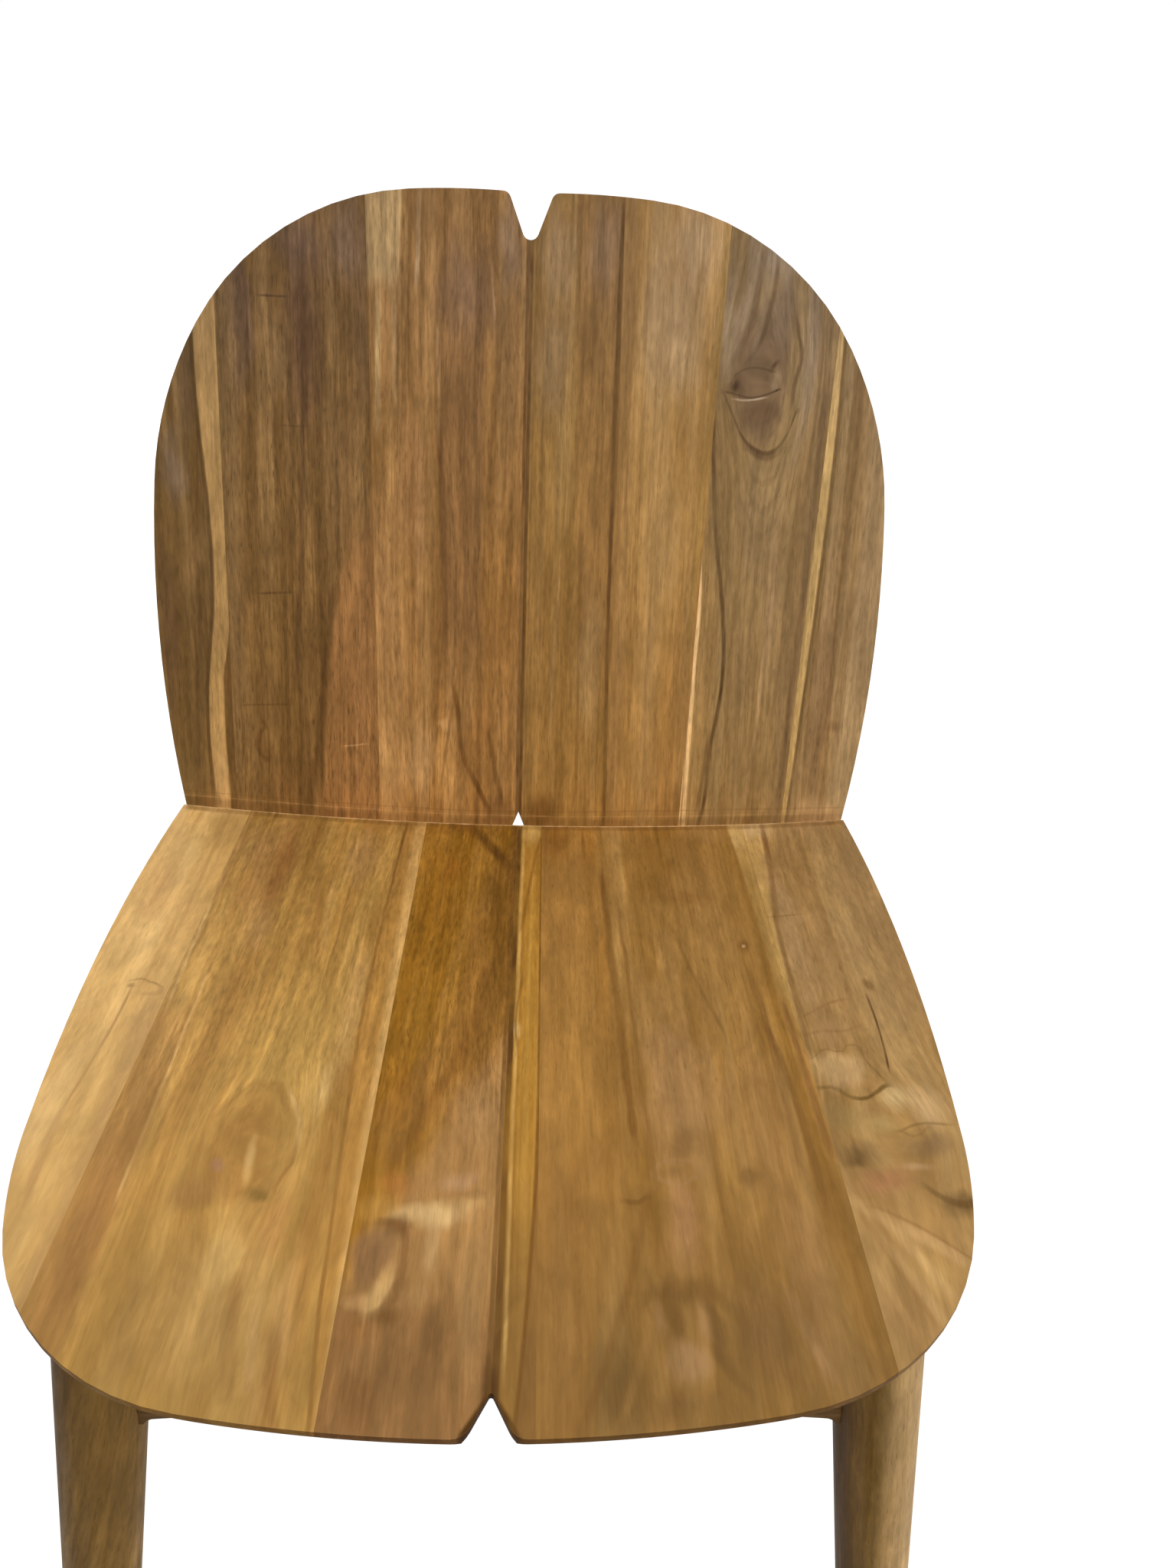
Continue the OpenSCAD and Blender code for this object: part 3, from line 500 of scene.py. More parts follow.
stave("seat_left_main", seatPlace, dict(
    tones=[(158, 116, 57), (172, 130, 66), (184, 143, 77)], seed=2, band=13, waver=12, grain=0.2,
    fleck=0.75,
    knots=[dict(at=(-117, 305), size=(22, 46), push=0.9)],
    zones=[
        zone((176, 128, 62), 0.65, left=[(0, -77), (220, -79), (290, -76), (350, -73), (400, -70),
            (440, -66)], soft=1),
        zone((206, 162, 96), 0.8, left=[(0, -72), (440, -64)], soft=2.5),
        zone((190, 148, 86), 0.85, left=[(150, -92), (260, -90)], right=[(150, -81), (260, -81)], start=160,
            end=255, soft=3, run=30),
        zone((152, 110, 58), 0.55, right=[(190, -168), (240, -166), (420, -162)], start=215),
        zone((182, 142, 86), 0.5, right=[(0, -181), (120, -180), (210, -182)], end=205)],
    blots=[
        blot((-170, 50), (11, 26), (178, 138, 84), 0.5), blot((-102, 348), (12, 36), (160, 118, 64), 0.6),
        blot((-102, 50), (11, 34), (186, 144, 88), 0.5), blot((-80, 8), (16, 9), (140, 100, 50), 0.45),
        blot((-152, 135), (8, 30), (180, 140, 86), 0.5), blot((-85, 400), (6, 40), (190, 146, 88), 0.5),
        blot((-158, 70), (18, 70), (150, 108, 62), 0.6), blot((-150, 74), (7, 40), (148, 98, 50), 0.5),
        blot((-134, 45), (6, 60), (140, 100, 46), 0.5, turn=-4),
        blot((-112, 246), (24, 70), (176, 138, 72), 0.75), blot((-96, 268), (6, 30), (186, 148, 84), 0.5),
        blot((-112, 388), (26, 40), (180, 140, 80), 0.75),
        blot((-174, 360), (10, 90), (150, 106, 58), 0.55),
        blot((-120, 304), (17, 36), (156, 113, 56), 0.75, core=0.6, edge=1.2),
        blot((-134, 336), (12, 12), (152, 110, 60), 0.6), blot((-129, 318), (3.2, 4), (158, 116, 90), 0.5),
        blot((-115, 312), (2.4, 14), (196, 157, 96), 0.8),
        blot((-108, 334), (6, 4.6), (118, 92, 42), 0.7, rag=1.8),
        blot((-114, 367), (9, 17), (190, 151, 88), 0.75, core=0.5, edge=1.2),
        blot((-98, 350), (7, 14), (172, 124, 68), 0.5), blot((-90, 266), (3.4, 19), (194, 157, 96), 0.8),
        blot((-140, 398), (12, 30), (146, 108, 58), 0.45)],
    rings=[ring((-120, 304), (18, 38), 0.12, (140, 100, 50), 0.35, heavy=-1, rag=0.7)],
    lines=[
        stroke([(0, -77), (220, -79), (290, -76), (350, -73), (400, -70), (440, -66)], 1.2, (134, 92, 42),
            0.7),
        stroke([(180, -168), (340, -166)], 0.9, (194, 154, 92), 0.6),
        stroke([(120, -182.5), (215, -181)], 1, (206, 168, 104), 0.7),
        stroke([(268, -107), (280, -101), (292, -97), (307, -95)], 1.6, (198, 158, 100), 0.85, soft=1.4,
            taper=6, loose=True),
        stroke([(306, -95), (318, -97), (330, -102)], 1.2, (140, 98, 50), 0.6, soft=1.2, taper=6,
            loose=True),
        stroke([(60, -64.6), (310, -64.4)], 1, (204, 160, 100), 0.7, soft=0.8),
        stroke([(250, -82), (330, -81), (440, -74)], 3, (154, 110, 54), 0.5, soft=3),
        stroke([(380, -106), (400, -103), (430, -98)], 3.6, (148, 106, 54), 0.75, soft=3, wobble=4,
            loose=True),
        stroke([(398, -89), (420, -84), (440, -79)], 3.2, (146, 104, 52), 0.75, soft=3, wobble=4,
            loose=True),
        stroke([(390, -96), (425, -91)], 2.6, (200, 158, 100), 0.6, soft=2.4, loose=True),
        stroke([(60, -128), (110, -120), (170, -112)], 3, (138, 96, 48), 0.4, soft=3, wobble=8),
        stroke([(80, -116), (150, -110)], 1, (190, 148, 92), 0.5, wobble=5),
        stroke([(90, -104), (180, -104)], 0.8, (140, 98, 50), 0.5, wobble=4)]))

stave("seat_left_inner", seatPlace, dict(
    tones=[(134, 90, 24), (152, 106, 36), (166, 119, 48)], seed=3, band=10, waver=14, grain=0.24, pores=0.5,
    fleck=0.9,
    zones=[
        zone((150, 106, 54), 0.55, left=[(20, 0), (60, -12), (110, -26), (190, -30), (245, -46),
            (280, -64)], end=300, soft=5, run=30),
        zone((166, 124, 74), 0.85, left=[(214, 2), (250, -12), (290, -30), (340, -50), (380, -64)],
            start=215, soft=9, run=20),
        zone((138, 97, 55), 0.7, start=385, run=16)],
    blots=[
        blot((-50, 428), (9, 12), (118, 80, 42), 0.7, rag=2),
        blot((-24, 400), (8, 14), (118, 84, 46), 0.6, rag=2.2),
        blot((-34, 384), (6, 7), (166, 126, 76), 0.6, rag=2), blot((-38, 8), (34, 9), (112, 74, 28), 0.5),
        # The dark blot at (0, 424) is painted shade at the notch's apex
        blot((0, 424), (4.5, 12), (56, 33, 10), 0.85), blot((-9, 110), (13, 90), (112, 76, 26), 0.85),
        blot((-50, 96), (13, 80), (142, 94, 26), 0.5), blot((-40, 60), (8, 16), (168, 106, 36), 0.45),
        blot((-54, 262), (8, 26), (154, 102, 34), 0.6),
        blot((-48, 324), (8, 9), (178, 116, 58), 0.5, rag=2.2),
        blot((-53, 338), (9, 9), (176, 130, 62), 0.65), blot((-50, 300), (9, 16), (140, 98, 46), 0.6),
        blot((-26, 338), (18, 6), (180, 143, 90), 0.7, turn=-10),
        blot((-20, 322), (10, 6), (182, 140, 98), 0.7, turn=-30),
        blot((-12, 330), (5, 4), (134, 100, 58), 0.65),
        blot((-31, 343), (15, 7), (200, 164, 110), 0.85, rag=2),
        blot((-29, 360), (4, 13), (180, 142, 92), 0.75),
        blot((-14, 280), (12, 26), (168, 128, 80), 0.5, turn=-12),
        blot((-53, 364), (9, 17), (136, 99, 62), 0.85, core=0.5, edge=1.2),
        blot((-45, 350), (5, 7), (118, 82, 44), 0.8), blot((-44, 393), (6, 5), (114, 78, 38), 0.75),
        blot((-57, 388), (7, 3.6), (186, 140, 86), 0.8), blot((-56, 398), (7, 6), (150, 103, 54), 0.6),
        blot((-36, 416), (20, 14), (126, 90, 50), 0.6), blot((-9, 385), (7, 40), (158, 120, 72), 0.65)],
    rings=[
        ring((-54, 372), (10.5, 17), 0.5, (200, 158, 98), 0.9, open=1, heavy=0.8, rag=0.6),
        ring((-54, 370), (15.5, 24), 0.16, (124, 86, 46), 0.6, open=1)],
    lines=[
        # Painted shade along the notch's edge
        stroke([(426, -0.5), (444, -11)], 1.8, (74, 47, 16), 0.9, soft=1.8, taper=4),
        stroke([(160, -12), (230, -22), (270, -36), (315, -52)], 4.5, (118, 77, 32), 0.5, soft=4,
            wobble=8),
        stroke([(0, -36), (26, -20), (56, -4)], 6, (96, 62, 24), 0.8, soft=5, taper=16),
        stroke([(30, -26), (120, -30), (240, -44)], 2, (168, 122, 60), 0.4, soft=2, wobble=5),
        stroke([(368, -23), (400, -17), (430, -14)], 3.5, (128, 92, 50), 0.6, soft=3),
        stroke([(0, -1.2), (450, -1.2)], 2, (100, 68, 30), 0.6)]))

stave("seat_right_inner", seatPlace, dict(
    tones=[(162, 114, 44), (175, 127, 52), (187, 140, 64)], seed=4, band=4, waver=4, grain=0.1, fleck=0.35,
    zones=[
        zone((134, 92, 44), 0.9, left=[(0, 17), (200, 17), (300, 16.3), (340, 15), (400, 12), (440, 9)],
            soft=0.8),
        zone((136, 98, 50), 0.75, start=340, run=60)],
    blots=[
        # The pale blot at (10, 8) is painted light against the crease's shade; the dark blot at (0, 424) is
        # painted shade at the notch's apex
        blot((10, 8), (7, 18), (216, 174, 100), 0.9), blot((0, 424), (4.5, 12), (56, 33, 10), 0.85),
        blot((12, 40), (4, 30), (150, 104, 42), 0.4), blot((4, 218), (2.6, 7), (212, 172, 110), 0.9)],
    lines=[
        # Painted shade along the notch's edge
        stroke([(426, 0.5), (444, 11)], 1.8, (74, 47, 16), 0.9, soft=1.8, taper=4),
        stroke([(0, 1.3), (450, 1.3)], 2.6, (88, 58, 26), 0.8),
        stroke([(-20, 4.4), (414, 4.4)], 0.9, (206, 164, 94), 0.7, taper=14),
        stroke([(0, 16.6), (200, 16.8), (300, 16.2), (340, 15), (400, 12), (440, 9)], 1.1, (112, 72, 26),
            0.75),
        stroke([(0, 19), (40, 13), (80, 9), (125, 5)], 1.4, (132, 90, 34), 0.6),
        stroke([(170, 7), (205, 4), (232, 5)], 0.8, (124, 82, 32), 0.6)]))

stave("seat_right_main", seatPlace, dict(
    tones=[(140, 100, 44), (161, 119, 60), (180, 139, 79)], seed=5, band=15, waver=10, grain=0.15,
    fleck=0.3,
    zones=[
        zone((208, 168, 104), 0.9, left=[(0, 147), (60, 149)], end=50, run=30, soft=1.5),
        zone((158, 112, 52), 0.7, right=[(0, 50), (300, 55), (440, 34)], soft=4),
        zone((178, 140, 78), 0.7, left=[(20, 148), (100, 150), (180, 153), (215, 157.5)], end=215,
            soft=1.2),
        zone((208, 170, 108), 0.9, left=[(0, 147), (60, 149)], end=30, run=16, soft=1.5),
        zone((128, 92, 46), 0.55, start=325, run=60)],
    blots=[
        blot((62, 60), (6, 70), (144, 104, 50), 0.6), blot((70, 432), (14, 7), (128, 92, 48), 0.6),
        blot((92, 165), (10, 60), (170, 130, 76), 0.5), blot((60, 250), (7, 60), (138, 98, 48), 0.5),
        blot((130, 10), (16, 18), (172, 130, 74), 0.6), blot((28, 335), (12, 26), (146, 104, 52), 0.5),
        blot((118, 135), (26, 110), (166, 126, 72), 0.5), blot((76, 205), (10, 50), (170, 130, 76), 0.5),
        blot((26, 12), (10, 40), (136, 90, 34), 0.7), blot((50, 22), (7, 24), (174, 122, 54), 0.7),
        blot((36, 210), (8, 80), (172, 126, 62), 0.5), blot((85, 110), (10, 28), (162, 122, 64), 0.5),
        blot((116, 60), (16, 50), (150, 110, 58), 0.5), blot((112, 92), (16, 9), (132, 92, 46), 0.5),
        blot((120, 120), (9, 24), (160, 120, 66), 0.4), blot((88, 265), (22, 60), (164, 124, 78), 0.8),
        blot((128, 290), (16, 70), (156, 116, 70), 0.5), blot((82, 345), (8, 26), (164, 120, 76), 0.75),
        blot((88, 300), (15, 10), (132, 96, 52), 0.5, rag=2), blot((80, 318), (5, 4), (140, 104, 56), 0.6),
        blot((114, 321), (8, 6.5), (126, 92, 50), 0.6, rag=1.8),
        blot((78, 382), (16, 9), (124, 88, 44), 0.75), blot((74, 397), (4, 9), (122, 86, 42), 0.75),
        blot((110, 402), (12, 26), (126, 92, 52), 0.75),
        blot((77, 414), (11, 12), (166, 126, 80), 0.85, core=0.4, edge=1.2),
        blot((86, 398), (3.6, 9), (160, 120, 74), 0.75), blot((67, 396), (2.6, 10), (158, 118, 72), 0.7),
        blot((132, 375), (10, 40), (158, 118, 74), 0.5), blot((140, 425), (14, 20), (122, 92, 54), 0.5),
        blot((48, 425), (12, 20), (104, 76, 38), 0.7), blot((28, 390), (10, 50), (152, 110, 58), 0.5),
        blot((138, 147), (4.5, 6), (110, 70, 34), 0.7),
        blot((138, 147), (1.8, 2.4), (206, 170, 118), 0.7, edge=1.2)],
    rings=[ring((82, 318), (10, 8), 0.25, (162, 122, 76), 0.55)],
    lines=[
        stroke([(10, 45), (42, 46)], 1.6, (112, 76, 34), 0.5),
        stroke([(60, 56), (160, 59), (300, 63)], 2.6, (120, 82, 37), 0.7, soft=2, wobble=3),
        stroke([(90, 65), (200, 68), (330, 71)], 1.4, (130, 92, 46), 0.6, soft=1.4, wobble=3),
        stroke([(125, 98), (160, 103), (225, 117)], 1.2, (126, 90, 44), 0.55, soft=1.2),
        stroke([(165, 138), (230, 140), (320, 139)], 2.6, (120, 84, 42), 0.6, soft=2, wobble=3),
        stroke([(285, 99), (350, 100)], 1.2, (128, 94, 52), 0.4),
        stroke([(56, 333), (61, 335), (67, 331)], 2, (112, 74, 34), 0.8, level=True, soft=1.4, taper=3),
        stroke([(56, 392), (63, 385), (70, 381), (78, 386), (84, 381), (92, 384), (100, 396)], 5,
            (122, 88, 44), 0.6, level=True, soft=5, taper=9, loose=True),
        stroke([(386, 86), (396, 90), (410, 91), (426, 99)], 3.4, (116, 84, 44), 0.75, soft=3, taper=8,
            loose=True),
        stroke([(385, 121), (400, 125), (420, 130)], 3.4, (164, 124, 80), 0.6, soft=2.6),
        stroke([(215, 139), (250, 143), (300, 146), (340, 146)], 2.2, (116, 78, 38), 0.65, soft=1.8),
        stroke([(200, 152), (280, 154), (310, 155)], 2.4, (124, 84, 44), 0.6, soft=1.6),
        stroke([(330, 66), (380, 55), (440, 34)], 2.4, (124, 84, 40), 0.5, soft=2),
        stroke([(340, 76), (400, 62), (440, 48)], 2.2, (156, 114, 60), 0.5, soft=2),
        stroke([(0, 156), (150, 156), (215, 156.8)], 1.4, (196, 156, 92), 0.5),
        stroke([(0, 158), (450, 158)], 1.6, (120, 84, 44), 0.4)]))

stave("seat_right_outer", seatPlace, dict(
    tones=[(148, 111, 62), (163, 126, 74), (176, 140, 88)], seed=6, band=12, waver=14, fleck=0.45,
    knots=[dict(at=(186, 300), size=(24, 34), push=0.9)],
    zones=[
        zone((164, 130, 84), 0.5, left=[(0, 201), (300, 198)], soft=5, end=230),
        zone((196, 156, 92), 0.9, left=[(0, 157), (400, 157)],
            right=[(0, 169), (60, 166), (90, 163), (120, 160.5), (240, 157)], end=205, soft=0.9),
        zone((170, 130, 76), 0.6, start=335, run=20)],
    blots=[
        # The pale blot at (166, 8) is sapwood, made paler still as painted light against the crease's shade
        blot((166, 8), (10, 15), (240, 204, 146), 0.95), blot((186, 12), (12, 16), (184, 148, 100), 0.5),
        blot((168, 14), (16, 16), (196, 158, 104), 0.6), blot((206, 12), (16, 10), (176, 138, 92), 0.5),
        blot((184, 60), (10, 70), (148, 112, 66), 0.5), blot((184, 165), (12, 70), (176, 138, 90), 0.5),
        blot((168, 135), (8, 90), (186, 148, 100), 0.7), blot((170, 226), (12, 12), (178, 138, 90), 0.6),
        blot((171, 255), (14, 15), (196, 158, 106), 0.9, core=0.5, edge=1.25),
        blot((193, 278), (9, 8), (196, 164, 112), 0.85), blot((207, 286), (9, 13), (192, 156, 108), 0.85),
        blot((166, 288), (11, 11), (150, 121, 72), 0.75), blot((182, 292), (9, 7), (176, 146, 90), 0.7),
        blot((167, 310), (12, 10), (118, 90, 54), 0.8, rag=2),
        blot((165, 315), (5, 5), (96, 70, 38), 0.5, rag=2),
        blot((202, 310), (12, 8), (138, 106, 70), 0.75, turn=10),
        blot((191, 322), (8, 3), (188, 150, 102), 0.75, turn=16),
        blot((176, 328), (16, 10), (170, 121, 78), 0.85),
        blot((208, 345), (10, 6), (104, 78, 44), 0.7, rag=1.8),
        blot((184, 380), (10, 12), (186, 146, 86), 0.7, turn=-40),
        blot((166, 400), (8, 20), (166, 124, 74), 0.6), blot((201, 190), (2.4, 5), (118, 84, 46), 0.7)],
    lines=[
        stroke([(157, 269), (165, 268), (172, 275), (178, 277), (185, 273), (193, 270)], 1.8, (116, 88, 44),
            0.8, level=True, soft=1.3, taper=4, loose=True),
        stroke([(160, 248), (167, 238), (175, 241), (181, 235), (187, 240)], 0.9, (132, 100, 54), 0.6,
            level=True, taper=4, loose=True),
        stroke([(240, 186), (256, 187), (268, 193)], 1, (126, 96, 52), 0.65, taper=4, loose=True),
        stroke([(190, 296), (197, 302), (204, 297)], 1.2, (136, 106, 62), 0.6, level=True, taper=4,
            loose=True),
        stroke([(192, 332), (199, 341), (206, 345), (214, 344)], 3, (104, 76, 40), 0.8, level=True, soft=2,
            taper=4),
        stroke([(190, 300), (200, 296), (214, 298)], 1.2, (128, 98, 54), 0.6, level=True, taper=5),
        stroke([(200, 198.6), (230, 198), (258, 195.6)], 0.8, (84, 56, 30), 0.9, soft=0.5, taper=6),
        stroke([(0, 171.5), (60, 168.5), (90, 165.5), (120, 163)], 2, (124, 84, 46), 0.6, soft=1.4),
        stroke([(110, 162), (160, 160.5), (240, 158.5)], 1.6, (122, 86, 44), 0.5, soft=1.2),
        stroke([(157, 118), (176, 117)], 0.9, (128, 88, 52), 0.5, level=True, taper=6),
        stroke([(158, 338), (170, 350), (184, 361), (198, 375)], 5, (196, 156, 102), 0.5, level=True,
            soft=4.5, taper=5),
        stroke([(166, 342), (180, 352), (196, 368), (206, 380)], 1.2, (150, 110, 64), 0.6, level=True,
            soft=1.4, taper=5),
        stroke([(346, 160), (370, 168), (400, 176)], 1.8, (150, 108, 60), 0.6, soft=1.6),
        stroke([(350, 170), (372, 180), (392, 188)], 3.4, (192, 152, 96), 0.6, soft=2.6),
        stroke([(352, 163), (376, 172), (404, 181)], 3, (190, 150, 96), 0.5, soft=2.4),
        stroke([(370, 159), (405, 168)], 2, (188, 146, 90), 0.5, soft=2),
        stroke([(158, 214), (166, 209), (176, 203), (186, 200)], 1.4, (138, 100, 58), 0.45, level=True,
            soft=1.2, taper=6),
        stroke([(158, 228), (168, 225), (180, 226), (190, 222)], 1.4, (142, 104, 62), 0.45, level=True,
            soft=1.2, taper=6),
        stroke([(40, 192), (200, 190)], 2, (134, 100, 58), 0.35, soft=2, wobble=4)]))
print("seat staves ready")

# Back staves, from the left
stave("back_left_outer", backPlace, dict(
    tones=[(98, 71, 36), (112, 84, 47), (125, 96, 58)], seed=7, band=9, waver=10, grain=0.22, fleck=0.6,
    zones=[
        zone((166, 129, 78), 1, left=[(21, -206), (62, -208), (99, -207), (125, -204), (156, -201),
            (208, -201), (239, -203), (270, -205), (317, -206)],
            right=[(16, -197), (93, -198), (104, -197.5), (125, -194), (156, -191), (320, -190)], soft=0.6,
            wobble=1.2)],
    blots=[
        blot((-202, 30), (5, 44), (198, 158, 104), 0.6), blot((-222, 235), (8, 24), (120, 98, 76), 0.7),
        blot((-214, 178), (7, 26), (138, 104, 62), 0.7, turn=-12),
        blot((-230, 130), (6, 60), (100, 72, 46), 0.6), blot((-222, 25), (12, 24), (126, 98, 58), 0.6),
        blot((-212, 290), (6, 40), (108, 82, 54), 0.6)],
    lines=[
        stroke([(21, -207.5), (62, -209.5), (99, -208.5), (125, -205.5), (156, -202.5), (208, -202.5),
            (239, -204.5), (270, -206.5), (317, -207.5)], 1.4, (82, 58, 32), 0.6),
        stroke([(30, -217), (120, -213), (160, -208)], 1.6, (92, 66, 38), 0.5, soft=1.5),
        stroke([(20, -195), (95, -195.5), (125, -192.5)], 3.4, (112, 80, 42), 0.8)]))

stave("back_left_main", backPlace, dict(
    tones=[(102, 73, 36), (118, 86, 47), (133, 100, 58)], seed=8, band=10, waver=12, grain=0.28, pores=0.55,
    fleck=0.8,
    zones=[
        zone((128, 98, 60), 0.65, right=[(0, -190), (100, -186), (400, -178)], soft=3),
        zone((143, 101, 58), 0.85, left=[(0, -138), (50, -133), (130, -127), (170, -120), (215, -110),
            (240, -98)], end=205, soft=2.5, run=35)],
    blots=[
        blot((-180, 60), (9, 46), (98, 72, 40), 0.45), blot((-140, 318), (12, 60), (96, 67, 44), 0.8),
        blot((-178, 330), (8, 50), (108, 82, 62), 0.6), blot((-160, 130), (20, 60), (113, 82, 42), 0.55),
        blot((-118, 235), (14, 50), (124, 92, 56), 0.5), blot((-157, 308), (6, 24), (136, 104, 64), 0.75),
        blot((-112, 372), (13, 26), (134, 104, 76), 0.7), blot((-140, 372), (16, 20), (110, 84, 64), 0.6),
        blot((-104, 320), (4, 60), (102, 74, 46), 0.5),
        blot((-172, 52), (7, 12), (94, 66, 34), 0.7, turn=20),
        blot((-160, 26), (12, 24), (116, 82, 44), 0.5)],
    rings=[ring((-170, 56), (7, 12), 0.25, (84, 57, 29), 0.6, rag=1.5, open=-1)],
    lines=[
        stroke([(0, -146), (40, -140), (80, -134), (130, -129), (165, -124)], 3.4, (88, 60, 30), 0.65,
            soft=2.5, wobble=4),
        stroke([(100, -152), (170, -146), (240, -143), (330, -136)], 2.2, (92, 64, 36), 0.6, soft=2,
            wobble=4),
        stroke([(-166, 340), (-150, 340)], 1, (80, 54, 36), 0.7, level=True, soft=0.5, taper=4),
        stroke([(-172, 158), (-152, 159)], 1.2, (84, 58, 30), 0.6, level=True, soft=0.6, taper=4),
        stroke([(-186, 83), (-156, 84)], 0.9, (84, 58, 30), 0.6, level=True, soft=0.5, taper=5),
        stroke([(-156, 264), (-140, 264)], 0.8, (84, 58, 34), 0.5, level=True, soft=0.5, taper=4),
        stroke([(-120, 55), (-106, 57)], 0.9, (188, 144, 98), 0.6, level=True, soft=0.5, taper=5),
        stroke([(230, -161), (290, -160)], 1.4, (142, 108, 68), 0.5, wobble=4),
        stroke([(240, -150), (300, -152)], 1.2, (140, 106, 66), 0.45, wobble=4),
        stroke([(20, -112), (150, -108)], 1.2, (160, 116, 74), 0.4, wobble=3),
        stroke([(40, -122), (130, -117)], 1.2, (126, 86, 46), 0.5, wobble=3)]))

stave("back_left_inner", backPlace, dict(
    tones=[(128, 90, 46), (144, 104, 57), (158, 118, 69)], seed=9, band=11, waver=11, grain=0.26, pores=0.4,
    fleck=0.75,
    zones=[
        zone((166, 123, 74), 0.8, right=[(0, -78), (120, -80), (200, -88), (260, -92)], end=215, soft=4,
            run=40),
        zone((124, 88, 51), 0.75, left=[(110, -53), (200, -54), (330, -56)], right=[(110, -26), (300, -28)],
            start=120, end=330, run=40, soft=2.5),
        zone((176, 143, 92), 0.8, right=[(340, -82), (400, -79)], start=352, run=9, soft=0.8)],
    blots=[
        blot((-70, 50), (11, 30), (178, 138, 90), 0.7), blot((-12, 10), (11, 15), (104, 72, 38), 0.6),
        blot((-12, 300), (8, 60), (124, 92, 54), 0.5), blot((-89, 48), (9, 40), (176, 136, 86), 0.6),
        blot((-50, 36), (7, 34), (180, 134, 78), 0.85), blot((-82, 80), (14, 60), (160, 118, 68), 0.5),
        blot((-32, 60), (9, 30), (146, 102, 54), 0.5, turn=-14),
        blot((-18, 150), (12, 70), (142, 100, 50), 0.6), blot((-74, 230), (12, 50), (146, 104, 64), 0.5),
        blot((-40, 350), (18, 34), (130, 98, 70), 0.6), blot((-12, 375), (9, 28), (138, 112, 84), 0.6),
        blot((-14, 270), (8, 60), (126, 92, 52), 0.6), blot((-95, 284), (2.6, 3), (112, 74, 44), 0.8),
        blot((-52, 71), (9, 4), (186, 142, 92), 0.4, rag=3)],
    rings=[ring((-95, 284), (5, 5), 0.3, (126, 88, 50), 0.5)],
    lines=[
        stroke([(10, -20), (30, -30), (47, -38), (83, -43), (100, -46)], 2.6, (94, 61, 28), 0.85, soft=1.6,
            wobble=3),
        stroke([(14, -12), (40, -17), (68, -22)], 2, (98, 64, 30), 0.75, soft=1.4, wobble=3),
        stroke([(30, -54), (60, -50), (90, -46)], 1.2, (112, 76, 38), 0.5),
        stroke([(125, -52), (200, -53.5), (275, -56)], 2.2, (98, 65, 35), 0.75, soft=2, wobble=3),
        stroke([(130, -66), (200, -65), (250, -64)], 1.2, (120, 82, 44), 0.5),
        stroke([(140, -70), (260, -68)], 1.6, (164, 122, 78), 0.5, soft=1.4),
        stroke([(262, -95), (343, -94)], 2.6, (176, 141, 90), 0.7, soft=1.6),
        stroke([(280, -84), (350, -84)], 1.4, (172, 136, 88), 0.6, soft=1.2),
        stroke([(352, -70), (405, -68)], 1.6, (176, 142, 98), 0.7, soft=1.2),
        stroke([(260, -56.5), (330, -57)], 1.2, (160, 124, 84), 0.5),
        stroke([(330, -22), (360, -23)], 0.9, (166, 132, 98), 0.5, wobble=4),
        stroke([(0, -1.1), (390, -1.1)], 1.8, (90, 61, 32), 0.7),
        stroke([(260, -99), (400, -101)], 1.4, (104, 74, 40), 0.5)]))

stave("back_right_inner", backPlace, dict(
    tones=[(136, 99, 49), (148, 110, 58), (160, 122, 71)], seed=10, band=9, waver=7, grain=0.22, fleck=0.6,
    zones=[
        zone((136, 99, 54), 0.9, left=[(0, 42), (104, 40), (156, 38), (203, 35), (250, 33), (338, 31),
            (390, 28)], start=110, run=70, soft=1.2)],
    blots=[
        blot((46, 115), (9, 50), (170, 134, 84), 0.6), blot((16, 310), (12, 40), (160, 128, 86), 0.6),
        blot((16, 10), (14, 15), (100, 68, 32), 0.85), blot((17, 375), (12, 30), (150, 124, 92), 0.4),
        blot((46, 375), (12, 34), (142, 112, 82), 0.5), blot((24, 250), (8, 50), (154, 122, 74), 0.5)],
    lines=[
        stroke([(0, 1), (390, 1)], 1.8, (84, 57, 30), 0.75),
        stroke([(0, 4), (390, 4)], 0.8, (122, 88, 48), 0.5),
        stroke([(0, 60.8), (150, 57.6), (400, 56.4)], 1.8, (88, 60, 30), 0.8, soft=1.2),
        stroke([(20, 40), (200, 37)], 1.4, (120, 84, 42), 0.5),
        stroke([(60, 20), (190, 24)], 0.9, (164, 126, 80), 0.5),
        stroke([(120, 12), (350, 9)], 1, (130, 96, 56), 0.4)]))

stave("back_right_middle", backPlace, dict(
    tones=[(150, 110, 57), (161, 121, 67), (171, 132, 79)], seed=11, band=14, waver=6, grain=0.2, fleck=0.5,
    zones=[
        zone((146, 108, 62), 0.7, right=[(0, 71), (400, 66)], soft=2.5),
        zone((146, 106, 58), 0.6, left=[(0, 101), (120, 100), (200, 104), (400, 112)], end=140, run=60,
            soft=4)],
    blots=[
        blot((98, 325), (14, 40), (186, 152, 106), 0.65), blot((102, 378), (16, 26), (184, 150, 106), 0.7),
        blot((74, 8), (14, 10), (128, 92, 48), 0.5), blot((80, 340), (10, 60), (166, 134, 92), 0.6),
        blot((108, 16), (12, 18), (130, 94, 50), 0.6), blot((90, 40), (10, 40), (152, 112, 62), 0.5),
        blot((96, 200), (8, 50), (160, 128, 82), 0.5)],
    lines=[
        stroke([(200, 96), (313, 101), (374, 107)], 1.8, (136, 102, 56), 0.55, soft=1.5),
        stroke([(120, 112), (240, 116), (390, 122)], 2.6, (148, 116, 62), 0.5, soft=2),
        stroke([(60, 84), (300, 88)], 1.2, (146, 108, 62), 0.35, soft=1.2)]))

